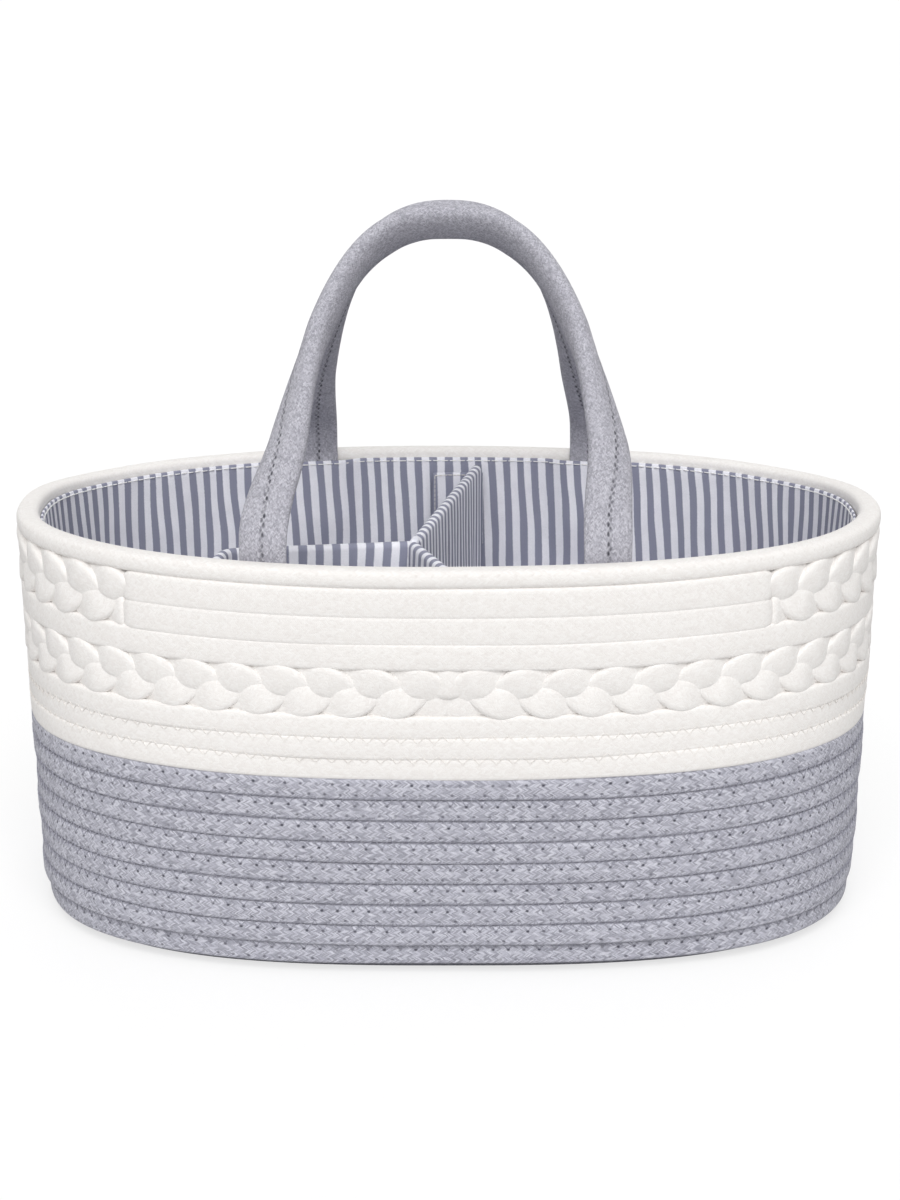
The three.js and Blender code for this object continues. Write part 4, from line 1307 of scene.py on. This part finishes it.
@dataclass
class Divider:
    """The padded divider: a pocket panel and a cross panel, with tabs at its three ends."""

    wall: OvalWall = field(default_factory=OvalWall)
    bottom: float = 10.1
    top: float = 165.5
    half: float = 2.5
    puff: float = 0.9
    puff_up: float = 0.7
    puff_along: float = 0.5
    wave: float = 0.25
    wave_along: float = 41.0
    wave_up: float = 0.05
    bend: float = 8.0
    crease: float = 3.0
    cross_start: float = 2.6
    end_inset: float = 15.9
    side_end: tuple[float, float] = (-103.2, -114.0)
    corner: tuple[float, float] = (-94.3, -53.6)
    junction: tuple[float, float] = (-15.1, -41.1)
    front_end: tuple[float, float] = (8.9, -114.0)
    back_end: tuple[float, float] = (14.8, 114.0)
    face_rows: int = 26
    round_rows: int = 9
    bend_steps: int = 9
    middle_steps: int = 34
    side_steps: int = 24
    front_steps: int = 30
    cross_steps: int = 60
    tab_wide: float = 25.0
    tab_levels: tuple[float, float] = (125.5, 161.5)
    tab_inset: float = 14.1
    tab_thick: float = 1.5
    tab_round: float = 1.2
    tab_curl: float = 1.6
    tape_levels: tuple[float, float] = (151.5, 159.5)
    tape_margin: float = 2.0
    tape_thick: float = 0.8
    tape_round: float = 0.4
    hook_inset: float = 13.0
    loop_inset: float = 11.9
    stitch: float = 1.8
    stitch_pitch: float = 2.2
    seam_margin: float = 1.0
    seam_levels: tuple[float, float] = (127.5, 160.4)
    seam_lift: float = 0.1
    spare_half: tuple[float, float] = (2.1, 1.3)
    spare_off: tuple[float, float] = (0.4, 1.0)
    spare_lean: float = 1.2
    spare_sunk: float = 1.2
    spare_high: float = 3.4
    spare_tip: float = 0.02
    spare_rows: int = 9
    spare_columns: int = 16

    def section(self) -> tuple[Array, Array]:
        """Offsets aside and heights round a panel: up one face, over the round top, down the other."""
        up = np.linspace(self.bottom, self.top - self.half, self.face_rows)
        turn = np.linspace(0, np.pi, self.round_rows + 2)[1:-1]
        face = np.ones(self.face_rows)
        height = np.concatenate([up, self.top - self.half + self.half * np.sin(turn), up[::-1]])
        return self.half * np.concatenate([-face, -np.cos(turn), face]), height

    def pocket_line(self) -> tuple[Array, Array]:
        """The pocket panel's middle line between its two straight ends, and its left normals."""
        points = [np.array(p) for p in (self.side_end, self.corner, self.junction, self.front_end)]
        arcs = [self._arc(*points[:3], self.bend), self._arc(*points[1:], self.crease)]
        between = np.linspace(arcs[0][-1], arcs[1][0], self.middle_steps)[1:-1]
        line = np.concatenate([arcs[0], between, arcs[1]])
        headings = np.gradient(line, axis=0)
        headings[0], headings[-1] = points[1] - points[0], points[3] - points[2]
        headings = unit(headings)
        return line, np.stack([-headings[:, 1], headings[:, 0]], 1)

    def _arc(self, before: Array, point: Array, after: Array, bend: float) -> Array:
        """Points of the rounded corner between two straight runs."""
        inward, onward = unit(before - point), unit(after - point)
        half = math.acos(float(inward @ onward)) / 2
        middle = point + unit(inward + onward) * bend / math.sin(half)
        start = point + inward * bend / math.tan(half) - middle
        end = point + onward * bend / math.tan(half) - middle
        share = np.linspace(0, 1, self.bend_steps)[:, None]
        return middle + unit(start * (1 - share) + end * share) * bend

    def straight(self, origin: Array, left: Array, heading: Array, steps: int) -> Array:
        """Rings of a straight run from a plan point out to the wall's lining.

        Args:
            origin: Where the run starts.
            left: Left normal of the panel there.
            heading: Direction to the wall.
            steps: Rings, without the first.

        Returns:
            Rings of points, steps by columns by 3.
        """
        aside, height = self.section()
        starts = origin + aside[:, None] * left
        far = self.wall.reach(starts, heading, self.end_inset, height)
        share = np.arange(1, steps + 1)[:, None] / steps
        return raised(starts + (share * far)[..., None] * heading, height)

    def puffed(self, grid: Array, middle: Array) -> Array:
        """Crowns a panel's faces: puff * sin^puff_up up * sin^puff_along along, and faint waves."""
        rows = np.linspace(0, 1, len(grid))[:, None]
        height = grid[..., 2]
        rise = np.clip((height - self.bottom) / (self.top - self.half - self.bottom), 0, 1)
        crown = np.sin(np.pi * rise) ** self.puff_up
        crown = crown * np.sin(np.pi * np.clip(rows, 0.02, 0.98)) ** self.puff_along
        wave = self.wave * np.sin(rows * self.wave_along + height * self.wave_up)
        wave = wave * np.sin(np.pi * rise)
        away = grid[..., :2] - middle[..., :2]
        grid = grid.copy()
        grid[..., :2] += away * ((self.puff * crown + wave) / self.half)[..., None]
        return grid

    def _panel(self, name: str, grid: Array, finishes: Finishes) -> None:
        """Makes a panel from its rings; U is the length of its middle line, V the way round."""
        middle = (grid + grid[:, ::-1]) / 2
        along = arc_lengths(middle[:, grid.shape[1] // 2])
        grid = self.puffed(grid, middle)
        piece = tube_mesh(f"{name}_padded", grid, section_uv(grid, along))
        dress(piece, finishes.stripes, Body.DIVIDER, Slot.STRIPES, f"{name}_cover", f"{name}_core")

    def build(self, finishes: Finishes) -> None:
        """Makes both panels, the tabs and tapes, and the spare cloth at the junction."""
        line, lefts = self.pocket_line()
        aside, height = self.section()
        core = raised(line[:, None] + aside[:, None] * lefts[:, None], height)
        heading = unit(np.subtract(self.side_end, self.corner))
        side = self.straight(line[0], lefts[0], heading, self.side_steps)
        heading = unit(np.subtract(self.front_end, self.junction))
        front = self.straight(line[-1], lefts[-1], heading, self.front_steps)
        self._panel("pocket_panel", np.concatenate([side[::-1], core, front]), finishes)
        heading = unit(np.subtract(self.back_end, self.junction))
        left = np.array([-heading[1], heading[0]])
        start = np.array(self.junction) + heading * self.cross_start
        first = raised((start + aside[:, None] * left)[None], height)
        cross = np.concatenate([first, self.straight(start, left, heading, self.cross_steps)])
        self._panel("cross_panel", cross, finishes)
        self._tab("back", self.back_end[0], -1, Side.REAR, 0.025, finishes)
        self._tab("front", self.front_end[0], 1, Side.FRONT, 0.025, finishes)
        self._tab("side", self.side_end[0], -1, Side.FRONT, 0.028, finishes)
        self._corner_cloth(finishes)

    def _tab(self, name: str, x: float, way: int, side: Side, wide: float, finishes: Finishes) -> None:
        """Makes a cloth tab, its hook tape and stitches, and the loop tape on the lining opposite.

        Args:
            name: Which tab.
            x: Where its panel's middle ends.
            way: Which way it turns along the wall, 1 or -1.
            side: The wall that it lies against.
            wide: Its flat width in metres; not used.
            finishes: The finishes.
        """
        near = x - way * self.half
        span = sorted((near, near + way * self.tab_wide))
        taped = (span[0] + self.tape_margin, span[1] - self.tape_margin)
        free = span[1] if way > 0 else span[0]
        patch = Patch(
            self.wall, side, self.tab_inset, self.tab_thick, self.tab_levels, self.tab_round,
            free, self.tab_curl,
        )
        tab = patch.build(f"{name}_tab_cloth", span)
        dress(tab, finishes.stripes, Body.DIVIDER, Slot.STRIPES, f"{name}_tab")
        tapes = []
        kinds = (("hook", self.hook_inset, Body.DIVIDER), ("loop", self.loop_inset, Body.BASKET))
        for kind, inset, body in kinds:
            tape = Patch(
                self.wall, side, inset, self.tape_thick, self.tape_levels, self.tape_round
            )
            tapes.append(tape.build(f"{name}_{kind}_tape_pile", taped))
            dress(tapes[-1], finishes.tape, body, Slot.FASTENER, f"{name}_{kind}_tape")
        self._tab_stitches(name, span, way, patch, finishes)

    def _tab_stitches(
        self, name: str, span: Sequence[float], way: int, patch: Patch, finishes: Finishes
    ) -> None:
        """Makes the running stitches along a tab's top and down its free side."""
        edge = patch.free - way * self.seam_margin
        low, high = self.seam_levels
        first, last = span[0] + self.seam_margin, span[1] - 2 * self.seam_margin
        across = np.arange(first, last, self.stitch_pitch)
        down = np.arange(low, high - self.stitch, self.stitch_pitch)
        x = np.append(across, np.full(len(down), edge))
        z = np.append(np.full(len(across), high), down)
        ahead = np.arange(len(x)) < len(across)
        face = self.tab_inset + self.tab_thick + self.seam_lift
        ends = []
        for far in (0.0, self.stitch):
            here, level = x + far * ahead, z + far * ~ahead
            # the thread is lifted most two margins in from the free edge
            deep = face + patch.curled(here + 2 * way * self.seam_margin)
            spots = self.wall.point(self.wall.share_at_x(here, patch.side, deep, level), deep, level)
            spots[:, 2] = level
            ends.append(spots)
        inward = self.wall.inward(self.wall.share_at_x(x, patch.side, face, z), z)
        threads = thread_mesh(f"{name}_tab_stitches", *ends, inward, thick=0.5, proud=0.1)
        dress(threads, finishes.cream_thread, Body.DIVIDER, Slot.STRIPES)

    def _corner_cloth(self, finishes: Finishes) -> None:
        """Makes the cover's spare corner that stands up where the two panels are sewn together.

        Rings from bottom to tip: a leaning oval that narrows by sqrt(1 - t^2) to a small end.
        """
        rise = np.linspace(0.0, 1.0, self.spare_rows)
        turn = 2 * np.pi * np.arange(self.spare_columns) / self.spare_columns
        narrow = np.sqrt(1 - rise**2 * (1 - self.spare_tip))[:, None]
        middle = np.add(self.junction, self.spare_off)
        x = middle[0] + self.spare_lean * rise[:, None] + self.spare_half[0] * narrow * np.cos(turn)
        y = middle[1] + self.spare_half[1] * narrow * np.sin(turn)
        z = np.broadcast_to(self.top - self.spare_sunk + self.spare_high * rise[:, None], x.shape)
        grid = np.stack([x, y, z], -1)
        piece = tube_mesh("junction_corner_cloth", grid, section_uv(grid, 2.2 + 0.6 * rise))
        dress(piece, finishes.stripes, Body.DIVIDER, Slot.STRIPES)


# ---------------------------------------------------------------- strap handles


@dataclass
class StrapHandle:
    """A padded strap from foot to foot: flat where it is sewn in, turned on edge at the grip.

    In the strap's own leaning plane the arch is x = -spread / 2 * cos^(2 / width power) and
    z = height * sin^(2 / height power); low down it sways by `shift` from over its feet.
    """

    side: Side
    name: str
    body: Body
    feet: tuple[Foot, Foot]
    spread: float
    shift: float
    height: float
    width_power: float
    twist_end: float
    grip_depth: float
    wall: OvalWall = field(default_factory=OvalWall)
    height_power: float = 1.49
    sway_end: float = 0.3
    hinge_depth: float = 106.33
    hinge_height: float = 184.5
    fold_half: float = 4.0
    foot_bottom: float = 144.5
    foot_inset: float = 12.0
    foot_steps: int = 60
    foot_half_thick: float = 1.6
    foot_rise: float = 14.0
    foot_drop: float = 6.0
    foot_beside: float = 0.002
    arch_steps: int = 1200
    plump_drop: float = 4.0
    plump_rise: float = 12.0
    half_wide: float = 9.8
    leg_half_thick: float = 3.2
    half_thick: float = 5.4
    grip_half_wide: float = 10.2
    grip_half_thick: float = 4.6
    plump_end: float = 0.2
    squareness: float = 0.92
    seam_deep: float = 0.45
    seam_wide: float = 0.16
    ease_near: float = 16.0
    ease_wide: float = 3.2
    ease_reach: int = 9
    sides: int = 32
    step: float = 1.6

    def arch(self) -> tuple[Array, Array, Array]:
        """Middle line of the arch, with the wide direction and the lift share at each point."""
        sign = self.side.value
        turn = np.linspace(0.0, np.pi, self.arch_steps)
        lift = np.abs(np.sin(turn)) ** (2 / self.height_power)
        x = -self.spread / 2 * signed_power(np.cos(turn), 2 / self.width_power)
        x = x + sign * self.shift * (1 - smooth(lift / self.sway_end))
        lean = math.asin((self.hinge_depth - self.grip_depth) / self.height)
        rise = self.height * lift
        depth = sign * self.hinge_depth - sign * math.sin(lean) * rise
        points = np.stack([x, depth, self.hinge_height + math.cos(lean) * rise], 1)
        square = np.array([0.0, math.cos(lean), sign * math.sin(lean)])
        roll = (math.pi / 2 * np.clip(lift / self.twist_end, 0, 1))[:, None]
        in_plane = np.cross(square, unit(np.gradient(points, axis=0)))
        return points, in_plane * np.cos(roll) + sign * square * np.sin(roll), lift

    def foot(self, foot: Foot) -> tuple[Array, Array]:
        """Middle line and wide direction of a sewn-in end, from its lowest point up to the hinge."""
        height = np.linspace(self.foot_bottom, self.hinge_height, self.foot_steps)
        x = np.full(self.foot_steps, foot.x)
        share = self.wall.share_at_x(x, foot.side, self.foot_inset, height)
        points = self.wall.point(share, self.foot_inset, height)
        points[:, 2] = height
        ease = smooth((height - self.wall.rim_top + self.foot_drop) / self.foot_rise)
        points[:, 1] += ease * (foot.side.value * self.hinge_depth - points[:, 1])
        ahead = self.wall.point(share + self.foot_beside, self.foot_inset, height)
        behind = self.wall.point(share - self.foot_beside, self.foot_inset, height)
        wide = unit((ahead - behind) * [1, 1, 0])
        return points, wide * np.sign(wide[:, :1])

    def line(self) -> tuple[Array, Array, Array]:
        """The whole strap's middle line, evenly spaced, with its wide direction and lift share.

        Near the hinge's height the line is eased, so that foot and arch run into each other.
        """
        (up_points, up_wide), (down_points, down_wide) = (self.foot(foot) for foot in self.feet)
        points, wide, lift = self.arch()
        points = np.concatenate([up_points[:-1], points, down_points[-2::-1]])
        wide = np.concatenate([up_wide[:-1], wide, -down_wide[-2::-1]])
        sunk = np.linspace(-1.0, 0.0, self.foot_steps - 1)
        lift = np.concatenate([sunk, lift, sunk[::-1]])
        length = arc_lengths(points)
        even = np.linspace(0, length[-1], int(length[-1] / self.step))
        values = np.concatenate([points, wide, lift[:, None]], 1)
        raw = np.stack([np.interp(even, length, column) for column in values.T], 1)
        reach = self.ease_reach
        kernel = np.exp(-0.5 * (np.arange(-reach, reach + 1) / self.ease_wide) ** 2)
        kernel /= kernel.sum()
        before, after = 2 * raw[:1] - raw[reach:0:-1], 2 * raw[-1:] - raw[-2 : -reach - 2 : -1]
        padded = np.concatenate([before, raw, after])
        eased = np.stack([np.convolve(column, kernel, "valid") for column in padded.T], 1)
        near = np.exp(-(((raw[:, 2] - self.hinge_height) / self.ease_near) ** 2))[:, None]
        raw = raw * (1 - near) + eased * near
        return raw[:, :3], raw[:, 3:6], raw[:, 6]

    def build(self, finishes: Finishes) -> None:
        """Makes the strap with the groove of its seam."""
        middle, wide, lift = self.line()
        along = unit(np.gradient(middle, axis=0))
        wide = unit(wide - along * np.einsum("ij,ij->i", wide, along)[:, None])
        thick = np.cross(along, wide)
        rise = np.clip(lift, 0, 1)
        plump = smooth(rise / self.plump_end)
        half_wide = self.half_wide + (self.grip_half_wide - self.half_wide) * rise
        leg = self.leg_half_thick + (self.half_thick - self.leg_half_thick) * plump
        grip = leg + (self.grip_half_thick - leg) * rise * rise * plump
        out = smooth((middle[:, 2] - (self.wall.rim_top - self.plump_drop)) / self.plump_rise)
        half_thick = self.foot_half_thick + (grip - self.foot_half_thick) * out
        turn = section_turn(self.sides)
        deep, across = oval(turn, self.squareness)
        groove = self.seam_deep * np.exp(-((turn / self.seam_wide) ** 2))
        grid = (
            middle[:, None]
            + wide[:, None] * (half_wide[:, None] * across)[..., None]
            - thick[:, None] * (half_thick[:, None] * deep - groove)[..., None]
        )
        piece = tube_mesh(self.name, grid, section_uv(grid, arc_lengths(middle), self.sides // 2))
        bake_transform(piece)
        handle, side = self.body.value, self.side.name.lower()
        nodes = (f"{handle}_cover", f"{handle}_filling", f"{side}_left_foot", f"{side}_right_foot")
        dress(piece, finishes.strap, None, Slot.STRAP, *nodes)


# ---------------------------------------------------------------- studio


@dataclass
class Studio:
    """Plain pale floor, soft light and the photograph's camera."""

    eye: tuple[float, float, float] = (0.0008, -0.930, 0.3947)
    pitch: float = 73.97
    lens: float = 64.43
    ambient: float = 0.42
    key: float = 0.77
    key_from: tuple[float, float, float] = (0.0, -0.73, 0.68)
    fill: float = 0.22
    fill_from: tuple[float, float, float] = (0.1, 0.88, 0.45)
    angle: float = 60.0
    floor_half: float = 90.0
    floor_glow: float = 0.66

    def build(self) -> None:
        """Makes the camera, world, lamps and floor."""
        scene = bpy.context.scene
        scene.view_settings.view_transform = "Standard"
        lens = bpy.data.cameras.new("camera")
        lens.lens = self.lens
        lens.sensor_width = 36.0
        lens.clip_start, lens.clip_end = 0.01, 300.0
        camera = bpy.data.objects.new("camera", lens)
        camera.location = self.eye
        camera.rotation_euler = (math.radians(self.pitch), 0.0, 0.0)
        scene.collection.objects.link(camera)
        scene.camera = camera
        self._world(scene)
        self._lamp(scene, "key", self.key, self.key_from)
        self._lamp(scene, "fill", self.fill, self.fill_from)
        self._floor(scene)

    def _seen(self, graph: Graph) -> Node:
        """1 for camera, glossy and transmission rays, 0 for the rest."""
        path = graph.node("LightPath").outputs
        either = graph.math("MAXIMUM", path["Is Camera Ray"], path["Is Glossy Ray"])
        return graph.math("MAXIMUM", either, path["Is Transmission Ray"])

    def _world(self, scene: bpy.types.Scene) -> None:
        """White where it is seen, a plain soft sky for light."""
        world = bpy.data.worlds.new("studio")
        graph = Graph(world)
        skies = [
            graph.node("Background", {"Color": srgb("#ffffff"), "Strength": strength})
            for strength in (self.ambient, 1.0)
        ]
        graph.node("OutputWorld", [graph.node("MixShader", [self._seen(graph), *skies])])
        scene.world = world

    def _lamp(
        self, scene: bpy.types.Scene, name: str, strength: float, toward: Sequence[float]
    ) -> None:
        """A large soft lamp; `strength` is what it gives a white face square to it."""
        lamp = bpy.data.lights.new(name, "SUN")
        lamp.angle = math.radians(self.angle)
        lamp.energy = strength * math.pi
        holder = bpy.data.objects.new(name, lamp)
        x, y, z = unit(np.array(toward))
        holder.rotation_euler = (math.acos(z), 0.0, math.atan2(y, x) + math.pi / 2)
        scene.collection.objects.link(holder)

    def _floor(self, scene: bpy.types.Scene) -> None:
        """A pale sweep that reads as white and keeps the object's shadow."""
        material = bpy.data.materials.new("white_paper_sweep")
        graph = Graph(material)
        seen = self._seen(graph)
        colour = graph.mixed(seen, srgb("#cccccc"), srgb("#a0a0a0"))
        paper = graph.node("BsdfDiffuse", {"Color": colour})
        none, glow = (
            graph.node("Emission", {"Color": srgb("#ffffff"), "Strength": strength})
            for strength in (0.0, self.floor_glow)
        )
        lit = graph.node("AddShader", [paper, graph.node("MixShader", [seen, none, glow])])
        graph.node("OutputMaterial", [lit])
        mesh = bpy.data.meshes.new("floor")
        half = self.floor_half
        corners = [(-half, -half, 0), (half, -half, 0), (half, half, 0), (-half, half, 0)]
        mesh.from_pydata(corners, [], [(0, 1, 2, 3)])
        floor = bpy.data.objects.new("floor", mesh)
        mesh.materials.append(material)
        scene.collection.objects.link(floor)


def main() -> None:
    """Loads the frame and builds the caddy and its studio."""
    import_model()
    finishes = Finishes()
    Studio().build()
    RopeBasket().build(finishes)
    Lining().build(finishes)
    Divider().build(finishes)
    StrapHandle(
        Side.FRONT, "front_strap_handle", Body.FRONT_HANDLE, FEET[:2],
        spread=137.0, shift=5.0, height=147.7, width_power=2.85, twist_end=0.64, grip_depth=10.9,
    ).build(finishes)
    StrapHandle(
        Side.REAR, "rear_strap_handle", Body.REAR_HANDLE, FEET[2:],
        spread=133.8, shift=2.6, height=149.3, width_power=2.45, twist_end=0.93, grip_depth=7.7,
    ).build(finishes)
    bpy.context.view_layer.update()


if __name__ == "__main__":
    main()
